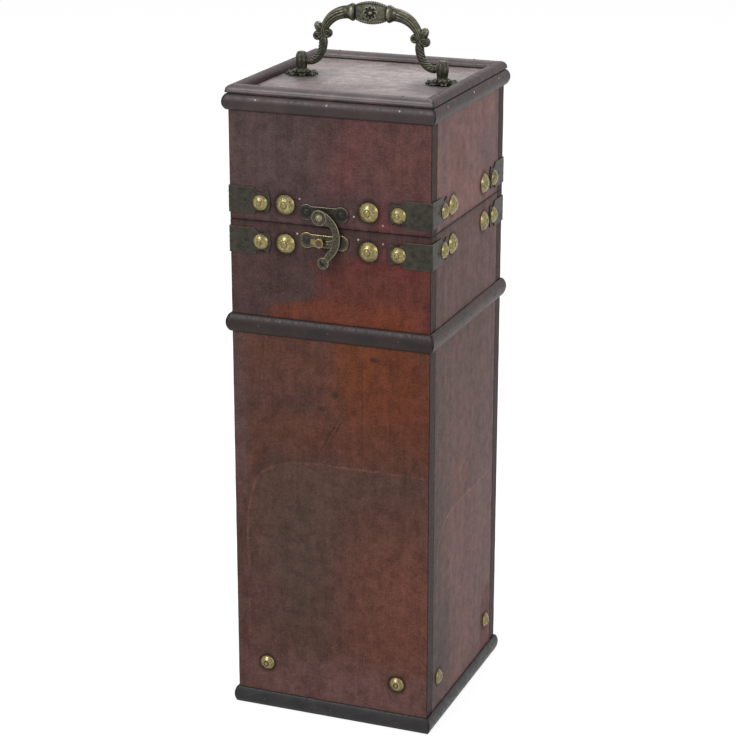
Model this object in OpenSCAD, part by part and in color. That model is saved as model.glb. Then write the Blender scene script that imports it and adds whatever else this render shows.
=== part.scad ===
// Wooden wine box: a tall square box for one bottle, with a lid that is hinged at the back,
// half-round mouldings, corner straps with domed nails, a swing hook at the front and a
// cast bail handle on the top.
//
// Millimetres, +Z up. The origin is on the floor, under the middle of the walls.
// The front, with the hook, faces -Y. The right side faces +X.

/* [Boards] */
// Outside width of the walls, left to right
box_w = 108; // [96:1:130]
// Outside depth of the walls, front to back
box_d = 111.5; // [98:0.5:130]
// Height of the split line between box and lid, above the floor
split_z = 269.5; // [255:0.5:320]
// Height of the lid's walls
lid_h = 59.5; // [50:0.5:80]
// Thickness of the wall boards
wall = 8; // [6:0.5:10]
// Thickness of the bottom board
bottom_t = 6; // [4:0.5:10]
// Thickness of the top board
top_t = 5; // [4:0.5:8]

/* [Mouldings] */
// Height of the strips along the floor
base_h = 9; // [6:0.5:12]
// How far the strips along the floor stand out
base_out = 2; // [1.4:0.1:3]
// Height of the strips of the band round the box
band_h = 10; // [6:0.5:14]
// Height of the band's lower edge above the floor
band_z = 210; // [120:1:225]
// Height of the strips under the lid's rim
brow_h = 8.4; // [6:0.2:12]
// How far the band and the strips under the rim stand out
band_out = 2.6; // [1.8:0.1:3.4]
// Thickness of a strip's square edge, where its rounding starts
strip_edge = 0.8; // [0.4:0.1:1.2]
// Width of the rim strips that lie on the top board
rim_w = 7; // [5:0.5:9]
// Height of the rim strips
rim_h = 4; // [3:0.5:6]
// Height of a rim strip's square edge, where its rounding starts
rim_edge = 1.2; // [0.6:0.2:2]
// How far the rim strips stand out past the walls
rim_out = 1.2; // [0.4:0.1:2]
// Gap between the rim and the strips below it
rim_gap = 0.4; // [0.2:0.1:0.8]

/* [Corner straps] */
// Thickness of the straps' sheet
strap_t = 0.8; // [0.5:0.1:1.2]
// Height of a strap
strap_h = 13.6; // [11:0.2:16]
// Length of a strap along each wall, from the corner
strap_l = 22.5; // [20:0.5:26]
// Gap between a strap and the split line
strap_gap = 3.6; // [2:0.2:5]
// Distance of a strap's neck from the corner
neck_in = 17.6; // [16.5:0.1:18.6]
// Height of the neck
neck_h = 8.4; // [6:0.2:9.4]
// Radius of the two hollows that form the neck
neck_r = 4; // [3:0.2:5]
// Radius of the strap's round tail
tail_r = 12.5; // [10:0.5:16]

/* [Nails] */
// Radius of a large domed nail's head
large_r = 5.1; // [4:0.1:5.4]
// Height of a large head
large_h = 2.7; // [2:0.1:3.4]
// Radius of a small domed nail's head
small_r = 4; // [3:0.1:4.6]
// Height of a small head
small_h = 2.2; // [1.6:0.1:2.8]
// Distance of the side walls' large nails from the wall's edge
large_in = 31; // [28:0.5:34]
// Distance of the small nails from the wall's edge
small_in = 17; // [15:0.5:19]
// Height of the lid's row of nails above the split line
lid_row = 9.6; // [8:0.2:12]
// Depth of the box's row of nails below the split line
box_row = 10.5; // [8:0.2:12]
// Height of the base nails above the floor
base_row = 25.5; // [18:0.5:40]
// Radius of a domed nail's shank
shank_r = 0.8; // [0.5:0.1:1]
// Length of a domed nail's shank inside the wood
shank_l = 5; // [3:0.5:5.5]
// Radius of a thin brad
brad_r = 0.5; // [0.4:0.1:0.9]
// Depth of a brad's visible end in the wood
brad_l = 1.5; // [1:0.1:2.4]
// How far a brad's end stands out
brad_out = 0.15; // [0.1:0.05:0.3]
// Distance of the mouldings' outer brads from the wall's edge
brad_in = 16; // [12:0.5:24]
// Radius of the heads of the nails that hold the plates and hinges
plate_nail_head_r = 1.7; // [1.2:0.1:2]
// Height of those heads
plate_nail_head_h = 0.5; // [0.3:0.1:0.6]
// Radius of those nails' shanks
plate_nail_r = 0.7; // [0.4:0.05:0.8]
// Length of those shanks inside the wood
plate_nail_l = 5; // [3:0.5:5.5]

/* [Hook and catch] */
// Thickness of the two plates
plate_t = 1; // [0.8:0.1:1.4]
// Radius of the plates' round ends
lobe_r = 4; // [3.6:0.1:4.6]
// Distance between the middles of a plate's round ends
lobe_span = 18.4; // [17:0.2:19]
// Height of the plates' waist
waist_h = 6.4; // [4:0.2:7]
// Place of the plates' middle, right of the wall's middle
plate_x = -2.5; // [-6:0.5:2]
// Height of the hook plate's ends above the split line
hook_plate_up = 7.2; // [6.6:0.1:8.6]
// Depth of the catch plate's ends below the split line
catch_plate_down = 7.2; // [5:0.1:8]
// Place of the hook's pivot, right of the plates' middle
pivot_x = -1.7; // [-3:0.1:0]
// Height of the hook's pivot above the split line
pivot_up = 5.3; // [4.6:0.1:6]
// Radius of the hook's round hub
hub_r = 4; // [3.4:0.1:4.6]
// Width of the hook's band
hook_band = 3.6; // [3:0.1:4.2]
// Thickness of the hook
hook_t = 1.6; // [1.2:0.1:2]
// Gap between the hook's hub and the plate
hook_gap = 0.2; // [0.1:0.05:0.3]
// How far the hub reaches behind the hook's band, which passes over the plates' nails
hub_boss = 0.5; // [0.4:0.05:0.8]
// Distance of the bow's middle left of the pivot
bow_left = 3.4; // [3:0.1:4]
// Distance of the bow's middle below the pivot
bow_down = 10; // [9.4:0.1:10.6]
// Radius of the eye at the hook's tail
eye_r = 2.95; // [2.4:0.05:3.2]
// Radius of the hollow in the eye
eye_hollow_r = 1.5; // [0.8:0.1:2]
// Width of the prong's blunt tip
prong_tip = 1.9; // [1.4:0.1:2.4]
// Width of the prong where it leaves the bow
prong_root = 5; // [3.6:0.2:6]
// Outside radius of the catch's rolled post
post_r = 2.4; // [2:0.1:2.6]
// Thickness of the rolled post's sheet
post_wall = 0.7; // [0.5:0.1:0.9]
// Length of the rolled post, out from its plate
post_l = 2.7; // [2.4:0.1:2.8]
// Distance of the post's middle below the pivot
post_down = 12.9; // [12.6:0.1:13.2]
// Radius of the hook's rivet
rivet_r = 1.2; // [0.8:0.1:1.6]
// Radius of the rivet's head
rivet_head_r = 2; // [1.7:0.1:2.6]
// Height of the rivet's head
rivet_head_h = 1.1; // [0.8:0.1:1.4]

/* [Back hinges] */
// Width of a hinge
hinge_w = 20; // [14:1:26]
// Gap between a hinge and the strap beside it
hinge_gap = 2.5; // [0.5:0.5:8]
// Height of a hinge leaf
leaf_h = 12; // [10:0.5:16]
// Thickness of a hinge leaf
leaf_t = 0.9; // [0.6:0.1:1.2]
// Radius of the hinges' knuckles
knuckle_r = 1.8; // [1.6:0.1:2.4]
// Radius of the hinge pins
pin_r = 0.8; // [0.6:0.05:1]
// Gap between two knuckles, and between a knuckle and the other leaf
knuckle_gap = 0.3; // [0.2:0.05:0.5]

/* [Handle] */
// Gap between the rosettes' leaves and the rim
rosette_gap = 1.1; // [0.4:0.1:6]
// Distance of the handle's axis behind the middle of the top
handle_y = 2; // [-4:0.5:6]
// Radius of a post
stand_r = 3.45; // [3:0.05:3.8]
// Height of a post above its rosette
stand_h = 10.4; // [9.6:0.2:12]
// Thickness of a rosette
rosette_t = 1.6; // [1:0.1:2]
// Radius of a rosette without its leaves
rosette_r = 6; // [5:0.1:6.6]
// Radius of a rosette's leaves
leaf_r = 2.6; // [2:0.1:2.8]
// Height of the bail's pivots above the top board
bail_up = 7.3; // [7:0.1:7.8]
// Radius of the bail's pivot pins
bail_pin_r = 1.3; // [1:0.05:1.5]
// Thickness radius of the bail's lower arms
arm_r = 2.1; // [1.8:0.1:2.3]
// Bending radius of the lower arms
arm_bend = 8.3; // [7.8:0.1:8.8]
// Thickness radius of the bail's upper arms
grip_r = 2.9; // [2.4:0.1:3.1]
// Bending radius of the upper arms
grip_bend = 16.8; // [16:0.1:17.4]
// Height of the grip's middle above the pivots
grip_up = 26.5; // [25.8:0.1:27]
// Half the height of the oval in the grip's middle
oval_h = 5.9; // [4.8:0.1:6]
// Half the thickness of the oval
oval_t = 2.6; // [2.4:0.1:3]
// Radius of the collars at the ends of the oval
collar_r = 4.3; // [3.4:0.1:4.4]
// Radius of the handle's screws
screw_r = 1.9; // [1.5:0.1:2]
// Radius of the screws' heads
screw_head_r = 3.6; // [3:0.1:4.4]
// Height of the screws' heads
screw_head_h = 2.2; // [1.6:0.1:2.6]

/* [Fits] */
// Gap between a nail's shank or a brad and its hole
nail_fit = 0.05; // [0.02:0.01:0.1]
// Radial play of the hook on its rivet
rivet_fit = 0.06; // [0.03:0.01:0.1]
// Radial play of a hinge pin in its knuckles
pin_fit = 0.05; // [0.02:0.01:0.1]
// Radial play of the bail's pins in the posts
bail_fit = 0.07; // [0.03:0.01:0.1]
// Gap between a screw and its hole
screw_fit = 0.1; // [0.05:0.01:0.1]

/* [Hidden] */
$fn = 64;
// The four walls, numbered round the box
SIDES = [0, 1, 2, 3];
FRONT = SIDES[0];
RIGHT = SIDES[1];
BACK = SIDES[2];
LEFT = SIDES[3];

// Heights worked out from the boards
lid_top_z = split_z + lid_h;
top_z = lid_top_z + top_t;
brow_z = top_z - rim_gap - brow_h;
lid_strap_z = split_z + strap_gap + strap_h / 2;
box_strap_z = split_z - strap_gap - strap_h / 2;

// How far the rim reaches in from the walls' outer faces
rim_inner = rim_w - rim_out;

// A cutter reaches this far past the faces it has to clear
past = 1;

// ---- Places on the four walls -------------------------------------------------------------

// Half the outside length of a wall, and its distance from the middle of the box
function wall_half(side) = side % 2 == 0 ? box_w / 2 : box_d / 2;
function wall_far(side) = side % 2 == 0 ? box_d / 2 : box_w / 2;

// Children are drawn on a wall: +X runs right as seen from outside, -Y points out of the wood
module on_wall(side) {
  rotate([0, 0, 90 * side]) translate([0, -wall_far(side), 0]) children();
}

// Children at a place on a wall, turned so that their +Z points out of the wood
module out_of_wall(side, x, z, out = 0) {
  on_wall(side) translate([x, -out, z]) rotate([90, 0, 0]) children();
}

// Ends of the two latch plates along the front. The front's large nails sit halfway between
// them and the straps
plate_ends = [plate_x - lobe_span / 2 - lobe_r, plate_x + lobe_span / 2 + lobe_r];
strap_ends = [strap_l - box_w / 2, box_w / 2 - strap_l];
front_large_xs = (plate_ends + strap_ends) / 2;

// Where the nails and brads go: [side, place along the wall, height, seat above the wood]
function strap_nails(z) = [for (side = SIDES, end = [-1, 1])
  [side, end * (wall_half(side) - small_in), z, strap_t]];
function face_nails(z) = concat(
  [for (x = front_large_xs) [FRONT, x, z, 0]],
  [for (side = [RIGHT, LEFT], end = [-1, 1]) [side, end * (wall_half(side) - large_in), z, 0]]);
base_nail_places = [for (side = SIDES, end = [-1, 1])
  [side, end * (wall_half(side) - small_in), base_row, 0]];
lid_nail_z = split_z + lid_row;
box_nail_z = split_z - box_row;
lid_nail_places = concat(strap_nails(lid_nail_z), face_nails(lid_nail_z));
box_nail_places = concat(strap_nails(box_nail_z), face_nails(box_nail_z), base_nail_places);

// The brads that show in the front boards: [place along the front, height above the split line].
// They lie off the plates' ends, between a plate and a nail, and off the right edge
brad_off_edge = 25.2;
brad_off_plate = 5;
brad_low = 4.6;
between_left = (plate_ends[0] + front_large_xs[0] + large_r) / 2;
between_right = (plate_ends[1] + front_large_xs[1] - large_r) / 2;
lid_front_brads = [
  [plate_ends[0], 13.4],
  [between_right, 6.9],
  [box_w / 2 - brad_off_edge, 3.7]];
box_front_brads = [
  [between_left, -brad_low],
  [plate_ends[1] + brad_off_plate, -brad_low],
  [box_w / 2 - brad_off_edge, -5.6]];

// How far a strip's rounded face stands out at a height dz off its middle
function round_r(chord, rise) = (chord * chord / 4 + rise * rise) / (2 * rise);
function strip_reach(h, out, dz) =
  let (rise = out - strip_edge, r = round_r(h, rise))
  strip_edge + sqrt(r * r - dz * dz) - (r - rise);

// Brads in a moulding: [side, place along the wall, height, reach of the strip there]
brow_brad_up = brow_h / 4;
function strip_brads(z, h, out, up) = [for (side = SIDES, at = [-1, 0, 1])
  [side, at * (wall_half(side) - brad_in), z + h / 2 + up, strip_reach(h, out, up)]];
brow_brads = strip_brads(brow_z, brow_h, band_out, brow_brad_up);
band_brads = strip_brads(band_z, band_h, band_out, 0);
base_brads = strip_brads(0, base_h, base_out, 0);

// ---- Nails and brads ----------------------------------------------------------------------

// Cap of a sphere that stands on z = 0
module dome(r, h) {
  ball_r = round_r(2 * r, h);
  intersection() {
    translate([0, 0, h - ball_r]) sphere(r = ball_r);
    cylinder(r = r, h = h);
  }
}

// Domed nail whose head stands on z = 0 and whose shank goes down into the wood
module domed_nail(r, h, seat) {
  dome(r, h);
  translate([0, 0, -seat - shank_l]) cylinder(r = shank_r, h = seat + shank_l);
}

module shank_holes(places) {
  for (p = places)
    out_of_wall(p[0], p[1], p[2], -shank_l)
      cylinder(r = shank_r + nail_fit, h = shank_l + strap_t + past);
}

module domed_nails(places, r, h) {
  for (p = places) out_of_wall(p[0], p[1], p[2], p[3]) domed_nail(r, h, p[3]);
}

// A brad is seen only as its end, which fills a shallow hole
module brad() {
  cylinder(r = brad_r, h = brad_l + brad_out);
}

module brad_hole() {
  cylinder(r = brad_r + nail_fit, h = brad_l + brad_out + past);
}

module brads(places) {
  for (p = places) out_of_wall(p[0], p[1], p[2], p[3] - brad_l) brad();
}

module brad_holes(places) {
  for (p = places) out_of_wall(p[0], p[1], p[2], p[3] - brad_l) brad_hole();
}

function front_brads(places) = [for (p = places) [FRONT, p[0], split_z + p[1], 0]];

module on_rim_brads() {
  for (side = SIDES, end = [-1, 1])
    on_wall(side)
      translate([end * (wall_half(side) - brad_in), rim_w / 2 - rim_out, top_z + rim_h - brad_l])
        children();
}

// ---- Boards -------------------------------------------------------------------------------

// The front and back boards cover the ends of the two side boards
function board_half(side) = side % 2 == 0 ? wall_half(side) : wall_half(side) - wall;

module wall_board(side, z, h, nails, pins) {
  difference() {
    on_wall(side) translate([-board_half(side), 0, z]) cube([2 * board_half(side), wall, h]);
    shank_holes([for (p = nails) if (p[0] == side) p]);
    brad_holes([for (p = pins) if (p[0] == side) p]);
    if (side == FRONT) latch_nail_holes();
    if (side == BACK) hinge_nail_holes();
  }
}

module box_board(side) {
  color("#5d3a30") wall_board(side, 0, split_z, box_nail_places, front_brads(box_front_brads));
}

module lid_board(side) {
  color("#583b36") wall_board(side, split_z, lid_h, lid_nail_places, front_brads(lid_front_brads));
}

module bottom_board() {
  color("#4c3a33")
    translate([wall - box_w / 2, wall - box_d / 2, 0])
      cube([box_w - 2 * wall, box_d - 2 * wall, bottom_t]);
}

module top_board() {
  color("#6b5a56")
    difference() {
      translate([-box_w / 2, -box_d / 2, lid_top_z]) cube([box_w, box_d, top_t]);
      at_posts() translate([0, 0, -top_t - past]) cylinder(r = screw_r + screw_fit, h = top_t + 2 * past);
    }
}

// ---- Half-round mouldings, mitred at the corners ------------------------------------------

// Round-faced bar along X: h high, standing out towards -Y. The round face meets the square edges
// above and below it at strip_edge from the wall
module round_bar(half, h, out) {
  r = round_r(h, out - strip_edge);
  intersection() {
    translate([-half, r - out, h / 2]) rotate([0, 90, 0]) cylinder(r = r, h = 2 * half);
    translate([-half, -out - past, 0]) cube([2 * half, out + past, h]);
  }
}

module moulding(side, z, h, out, pins) {
  half = wall_half(side);
  difference() {
    on_wall(side)
      translate([0, 0, z])
        intersection() {
          round_bar(half + out, h, out);
          linear_extrude(h) polygon([[-half - out, -out], [half + out, -out], [half, 0], [-half, 0]]);
        }
    brad_holes([for (p = pins) if (p[0] == side) p]);
  }
}

module base_strip(side) {
  color("#37342f") moulding(side, 0, base_h, base_out, base_brads);
}

module band_strip(side) {
  color("#453a36") moulding(side, band_z, band_h, band_out, band_brads);
}

module brow_strip(side) {
  color("#483d39") moulding(side, brow_z, brow_h, band_out, brow_brads);
}

// Round-topped strip that lies on the edge of the top board
module rim_strip(side) {
  half = wall_half(side);
  r = round_r(rim_w, rim_h - rim_edge);
  long = 2 * (half + rim_out);
  color("#50443f")
    difference() {
      on_wall(side)
        translate([0, 0, top_z])
          intersection() {
            translate([-long / 2, rim_w / 2 - rim_out, rim_h - r])
              rotate([0, 90, 0]) cylinder(r = r, h = long);
            linear_extrude(rim_h + past)
              polygon([[-half - rim_out, -rim_out], [half + rim_out, -rim_out],
                       [half - rim_inner, rim_inner], [rim_inner - half, rim_inner]]);
          }
      on_rim_brads() brad_hole();
    }
}

// ---- Corner straps ------------------------------------------------------------------------

// Half of a strap, laid out flat: it starts at the corner and ends in a flared tail
module strap_outline() {
  difference() {
    intersection() {
      translate([-strap_t, -strap_h / 2]) square([strap_l + strap_t, strap_h]);
      union() {
        translate([-strap_t, -strap_h / 2]) square([neck_in + strap_t, strap_h]);
        translate([strap_l - tail_r, 0]) circle(r = tail_r);
      }
    }
    for (end = [-1, 1])
      translate([neck_in, end * (neck_h / 2 + neck_r)]) circle(r = neck_r);
  }
}

// The strap at the right end of a wall: one half lies on that wall, one on the next
module corner_strap(side, z, nails) {
  next = (side + 1) % 4;
  difference() {
    union() {
      out_of_wall(side, wall_half(side), z)
        mirror([1, 0, 0]) linear_extrude(strap_t) strap_outline();
      out_of_wall(next, -wall_half(next), z) linear_extrude(strap_t) strap_outline();
    }
    shank_holes(nails);
  }
}

module box_strap(side) {
  color("#3c3831") corner_strap(side, box_strap_z, strap_nails(box_nail_z));
}

module lid_strap(side) {
  color("#3c3831") corner_strap(side, lid_strap_z, strap_nails(lid_nail_z));
}

// ---- Groups of nails ----------------------------------------------------------------------

module box_strap_nails() {
  color("#a8975a") domed_nails(strap_nails(box_nail_z), small_r, small_h);
}

module lid_strap_nails() {
  color("#a8975a") domed_nails(strap_nails(lid_nail_z), small_r, small_h);
}

module box_face_nails() {
  color("#a8975a") domed_nails(face_nails(box_nail_z), large_r, large_h);
}

module lid_face_nails() {
  color("#a8975a") domed_nails(face_nails(lid_nail_z), large_r, large_h);
}

module base_nails() {
  color("#948452") domed_nails(base_nail_places, small_r, small_h);
}

module box_brads() {
  color("#cfc8c0") {
    brads(band_brads);
    brads(base_brads);
    brads(front_brads(box_front_brads));
  }
}

module lid_brads() {
  color("#cfc8c0") {
    brads(brow_brads);
    brads(front_brads(lid_front_brads));
    on_rim_brads() brad();
  }
}

// ---- Hook and catch -----------------------------------------------------------------------

lobe_xs = [plate_x - lobe_span / 2, plate_x + lobe_span / 2];
hook_plate_z = split_z + hook_plate_up;
catch_plate_z = split_z - catch_plate_down;
hook_x = plate_x + pivot_x;
pivot_z = split_z + pivot_up;

// Plate with two round ends and a straight waist
module lobed_outline(z) {
  for (x = lobe_xs) translate([x, z]) circle(r = lobe_r);
  translate([lobe_xs[0], z - waist_h / 2]) square([lobe_span, waist_h]);
}

// Children are drawn on the front wall in X and Z, with +Z out of the wood
module on_front(out = 0) {
  out_of_wall(FRONT, 0, 0, out) children();
}

module at_latch_nails(zs) {
  for (z = zs, x = lobe_xs) on_front(plate_t) translate([x, z, 0]) children();
}

// A hinge's nails lie a third of its width off its middle, and this far in from its leaf's edge
hinge_nail_in = 4.2;

module at_hinge_nails(ups) {
  for (end = [-1, 1], x = [-1, 1] * hinge_w / 3, up = ups)
    out_of_wall(BACK, end * hinge_x + x, split_z + up * (leaf_h - hinge_nail_in), leaf_t) children();
}

// Small round-headed nail that holds a plate of thickness t
module plate_nail(t) {
  dome(plate_nail_head_r, plate_nail_head_h);
  translate([0, 0, -t - plate_nail_l]) cylinder(r = plate_nail_r, h = t + plate_nail_l);
}

module plate_nail_hole(t) {
  translate([0, 0, -t - plate_nail_l])
    cylinder(r = plate_nail_r + nail_fit, h = t + plate_nail_l + past);
}

module latch_nail_holes() {
  at_latch_nails([hook_plate_z, catch_plate_z]) plate_nail_hole(plate_t);
}

module hinge_nail_holes() {
  at_hinge_nails([-1, 1]) plate_nail_hole(leaf_t);
}

// The hook plate shows all round the hub
hub_rim = 0.6;

module hook_plate() {
  color("#45403a")
    difference() {
      on_front()
        linear_extrude(plate_t)
          union() {
            lobed_outline(hook_plate_z);
            translate([hook_x, pivot_z]) circle(r = hub_r + hub_rim);
          }
      latch_nail_holes();
      on_front() translate([hook_x, pivot_z, -past])
        cylinder(r = rivet_r + nail_fit, h = plate_t + 2 * past);
    }
}

module catch_plate() {
  color("#5c543f")
    difference() {
      on_front() linear_extrude(plate_t) lobed_outline(catch_plate_z);
      latch_nail_holes();
    }
}

// Rolled post: the hook's prong swings into the slot in its right side
post_z = pivot_z - post_down;
slot_play = 0.55;
slot_half = prong_tip / 2 + slot_play;

module catch_post() {
  color("#8a7a4c")
    difference() {
      on_front(plate_t) translate([hook_x, post_z, 0]) cylinder(r = post_r, h = post_l);
      on_front(plate_t) translate([hook_x, post_z, -past])
        cylinder(r = post_r - post_wall, h = post_l + 2 * past);
      on_front(plate_t) translate([hook_x, post_z - slot_half, -past])
        cube([post_r + past, 2 * slot_half, post_l + 2 * past]);
    }
}

// Rivet through the hook and its plate: a set head outside, a shank in the front board
rivet_hold = hook_gap / 4;

module hook_rivet() {
  reach = band_in + hook_t + rivet_hold;
  color("#9a8f70")
    on_front() translate([hook_x, pivot_z, 0]) {
      cylinder(r = rivet_r, h = reach);
      translate([0, 0, reach]) dome(rivet_head_r, rivet_head_h);
    }
}

// The hook hangs from its hub, bows out to the right and ends in an eye that is bent outwards
bow_x = hook_x - bow_left;
bow_z = pivot_z - bow_down;
bow_out_r = norm([bow_left, bow_down]) + hub_r;
bow_in_r = bow_out_r - hook_band;
bow_mid_r = bow_out_r - hook_band / 2;
bow_top = atan2(bow_down, bow_left);
bow_end = -66;
bend_start = -30;
bend_end = -40;
band_in = plate_t + hook_gap + hub_boss;
tail_lift = plate_t + post_l + hook_gap - band_in;
prong_gap = 1.3;
prong_x = hook_x + post_r + prong_gap;
prong_up = 0.5;
prong_z = post_z + prong_up;

// A stretch of the bow between two angles, from one depth to another
module bow(from, to, low, high) {
  translate([bow_x, bow_z, low])
    rotate([0, 0, from])
      rotate_extrude(angle = to - from)
        translate([bow_in_r, 0]) square([hook_band, high - low]);
}

module latch_hook() {
  eye_x = bow_x + bow_mid_r * cos(bow_end);
  eye_z = bow_z + bow_mid_r * sin(bow_end);
  color("#4f4a40")
    on_front(band_in)
      difference() {
        union() {
          translate([hook_x, pivot_z, -hub_boss]) cylinder(r = hub_r, h = hub_boss + hook_t);
          bow(bend_end, bow_top, 0, hook_t);
          bow(bend_end, bend_start, 0, tail_lift + hook_t);
          bow(bow_end, bend_end, tail_lift, tail_lift + hook_t);
          translate([eye_x, eye_z, tail_lift]) cylinder(r = eye_r, h = hook_t);
          linear_extrude(hook_t)
            polygon([[prong_x, prong_z - prong_tip / 2],
                     [bow_x + bow_in_r + hook_band / 2, prong_z - prong_tip / 2],
                     [bow_x + bow_in_r + hook_band / 2, prong_z - prong_tip / 2 + prong_root],
                     [prong_x, prong_z + prong_tip / 2]]);
        }
        translate([hook_x, pivot_z, -hub_boss - past])
          cylinder(r = rivet_r + rivet_fit, h = hub_boss + hook_t + 2 * past);
        translate([eye_x, eye_z, tail_lift + hook_t / 2]) cylinder(r = eye_hollow_r, h = hook_t);
      }
}

// ---- Back hinges --------------------------------------------------------------------------

// Each hinge has three knuckles: the middle one belongs to the lid
knuckle_l = (hinge_w - 2 * knuckle_gap) / 3;
mid_reach = knuckle_l / 2;
hinge_out = knuckle_r;
hinge_x = box_w / 2 - strap_l - hinge_gap - hinge_w / 2;

// Children stand on a hinge's axis, at the middle of the hinge
module at_hinge(end) {
  on_wall(BACK) translate([end * hinge_x, -hinge_out, split_z]) children();
}

module knuckle(x, long) {
  translate([x, 0, 0]) rotate([0, 90, 0]) cylinder(r = knuckle_r, h = long);
}

// The leaf's sheet lies on the wall, and is cut back beside the other leaf's knuckles
module leaf_sheet(up, x, long, start) {
  tall = leaf_h - start;
  translate([x, hinge_out - leaf_t, up > 0 ? start : -leaf_h]) cube([long, leaf_t, tall]);
}

module hinge_leaf(end, up) {
  clear = knuckle_r + knuckle_gap;
  half = hinge_w / 2;
  color("#4a4438")
    difference() {
      at_hinge(end)
        union() {
          leaf_sheet(up, -half, hinge_w, clear);
          if (up > 0) {
            leaf_sheet(up, -mid_reach, knuckle_l, 0);
            knuckle(-mid_reach, knuckle_l);
          } else {
            for (x = [-half, half - knuckle_l]) {
              leaf_sheet(up, x, knuckle_l, 0);
              knuckle(x, knuckle_l);
            }
          }
        }
      at_hinge(end) translate([-half - past, 0, 0]) rotate([0, 90, 0])
        cylinder(r = pin_r + pin_fit, h = hinge_w + 2 * past);
      hinge_nail_holes();
    }
}

module hinge_pins() {
  color("#6a6352")
    for (end = [-1, 1])
      at_hinge(end) translate([-hinge_w / 2, 0, 0]) rotate([0, 90, 0]) cylinder(r = pin_r, h = hinge_w);
}

module box_plate_nails() {
  color("#6a6045") {
    at_latch_nails([catch_plate_z]) plate_nail(plate_t);
    at_hinge_nails([-1]) plate_nail(leaf_t);
  }
}

module lid_plate_nails() {
  color("#55503f") {
    at_latch_nails([hook_plate_z]) plate_nail(plate_t);
    at_hinge_nails([1]) plate_nail(leaf_t);
  }
}

// ---- Handle -------------------------------------------------------------------------------

bail_z = top_z + bail_up;
post_span = box_w - 2 * (rim_inner + rosette_gap + rosette_r + leaf_r);
bail_gap = 0.35;
// The bail's pins reach past the posts' middles, into blind bores that are a little deeper
pin_past_middle = 0.15;
pin_reach = stand_r + pin_past_middle;
pin_bore_l = pin_reach + bail_gap;

// Children stand on the top board, at the middle of a post
module at_post(end) {
  translate([end * post_span / 2, handle_y, top_z]) children();
}

module at_posts() {
  for (end = [-1, 1]) at_post(end) children();
}

// Round upright with a rounded top
stand_round = 2.2;

module stand() {
  edge = stand_round;
  rotate_extrude() {
    square([stand_r, stand_h - edge]);
    square([stand_r - edge, stand_h]);
    translate([stand_r - edge, stand_h - edge])
      intersection() {
        circle(r = edge);
        square(edge);
      }
  }
}

// The screws end below the pins' bores, with this much metal between
screw_web = 0.7;
screw_into = bail_up - rosette_t - bail_pin_r - bail_fit - screw_fit - screw_web;

module handle_post(end) {
  color("#55523f")
    difference() {
      at_post(end) translate([0, 0, rosette_t]) stand();
      at_post(end) translate([0, 0, bail_up]) rotate([0, -90 * end, 0])
        translate([0, 0, stand_r + past - pin_bore_l - past])
          cylinder(r = bail_pin_r + bail_fit, h = pin_bore_l + past);
      at_post(end) cylinder(r = screw_r + screw_fit, h = rosette_t + screw_into + screw_fit);
    }
}

// Round foot with eight thinner leaves and a hole for the screw
rosette_leaf_t = 0.7 * rosette_t;

module handle_rosette(end) {
  color("#3f3c31")
    at_post(end)
      difference() {
        union() {
          cylinder(r = rosette_r, h = rosette_t);
          for (turn = [0:45:315])
            rotate([0, 0, turn]) translate([rosette_r, 0, 0]) cylinder(r = leaf_r, h = rosette_leaf_t);
        }
        translate([0, 0, -past]) cylinder(r = screw_r + screw_fit, h = rosette_t + 2 * past);
      }
}

module handle_screws() {
  color("#8c8c86")
    at_posts() {
      translate([0, 0, -top_t]) cylinder(r = screw_r, h = top_t + rosette_t + screw_into);
      translate([0, 0, -top_t - screw_head_h]) cylinder(r = screw_head_r, h = screw_head_h);
    }
}

// The bail is drawn in its own plane: X along the grip, Y up from the pivots. Each foot is a
// short straight stretch between the pin and the bend
foot_l = 0.2;
foot_x = post_span / 2 - stand_r - bail_gap;
arm_x = foot_x - foot_l;
grip_y = grip_up - grip_bend;
grip_end = 23.5;
knot_x = arm_x - arm_bend;
knot_y = grip_y + grip_bend * sin(grip_end);
grip_half = knot_x - grip_bend * cos(grip_end);
// The knot's scrolls: [place off the knot's middle along the grip, height off it, radius]
knot_scrolls = [[3.2, -2.8, 2.6], [2.6, 1.9, 2.3], [-2.4, -1, 2.5]];
collar_half = 1.2;

// Bent round bar: a piece of a ring between two angles
module bent_bar(x, y, bend, thick, from, to) {
  translate([x, y, 0])
    rotate([0, 0, from]) rotate_extrude(angle = to - from) translate([bend, 0]) circle(r = thick);
}

module ball(x, y, r) {
  translate([x, y, 0]) sphere(r = r);
}

// Disc with a rounded edge, its axis along X
module collar(x, y) {
  half = collar_half;
  translate([x, y, 0])
    rotate([0, 90, 0])
      rotate_extrude() {
        translate([0, -half]) square([collar_r - half, 2 * half]);
        translate([collar_r - half, 0])
          intersection() {
            circle(r = half);
            translate([0, -half]) square([half, 2 * half]);
          }
      }
}

// Lens-shaped oval between the collars, flat-domed front and back. Its points reach into them
oval_past = 1;

module oval() {
  half = grip_half + oval_past;
  r = round_r(2 * half, oval_h);
  dome_r = round_r(2 * half, oval_t);
  intersection() {
    translate([0, grip_up + oval_h - r, -oval_t]) cylinder(r = r, h = 2 * oval_t);
    translate([0, grip_up - oval_h + r, -oval_t]) cylinder(r = r, h = 2 * oval_t);
    translate([0, grip_up, oval_t - dome_r]) sphere(r = dome_r);
    translate([0, grip_up, dome_r - oval_t]) sphere(r = dome_r);
  }
}

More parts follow.
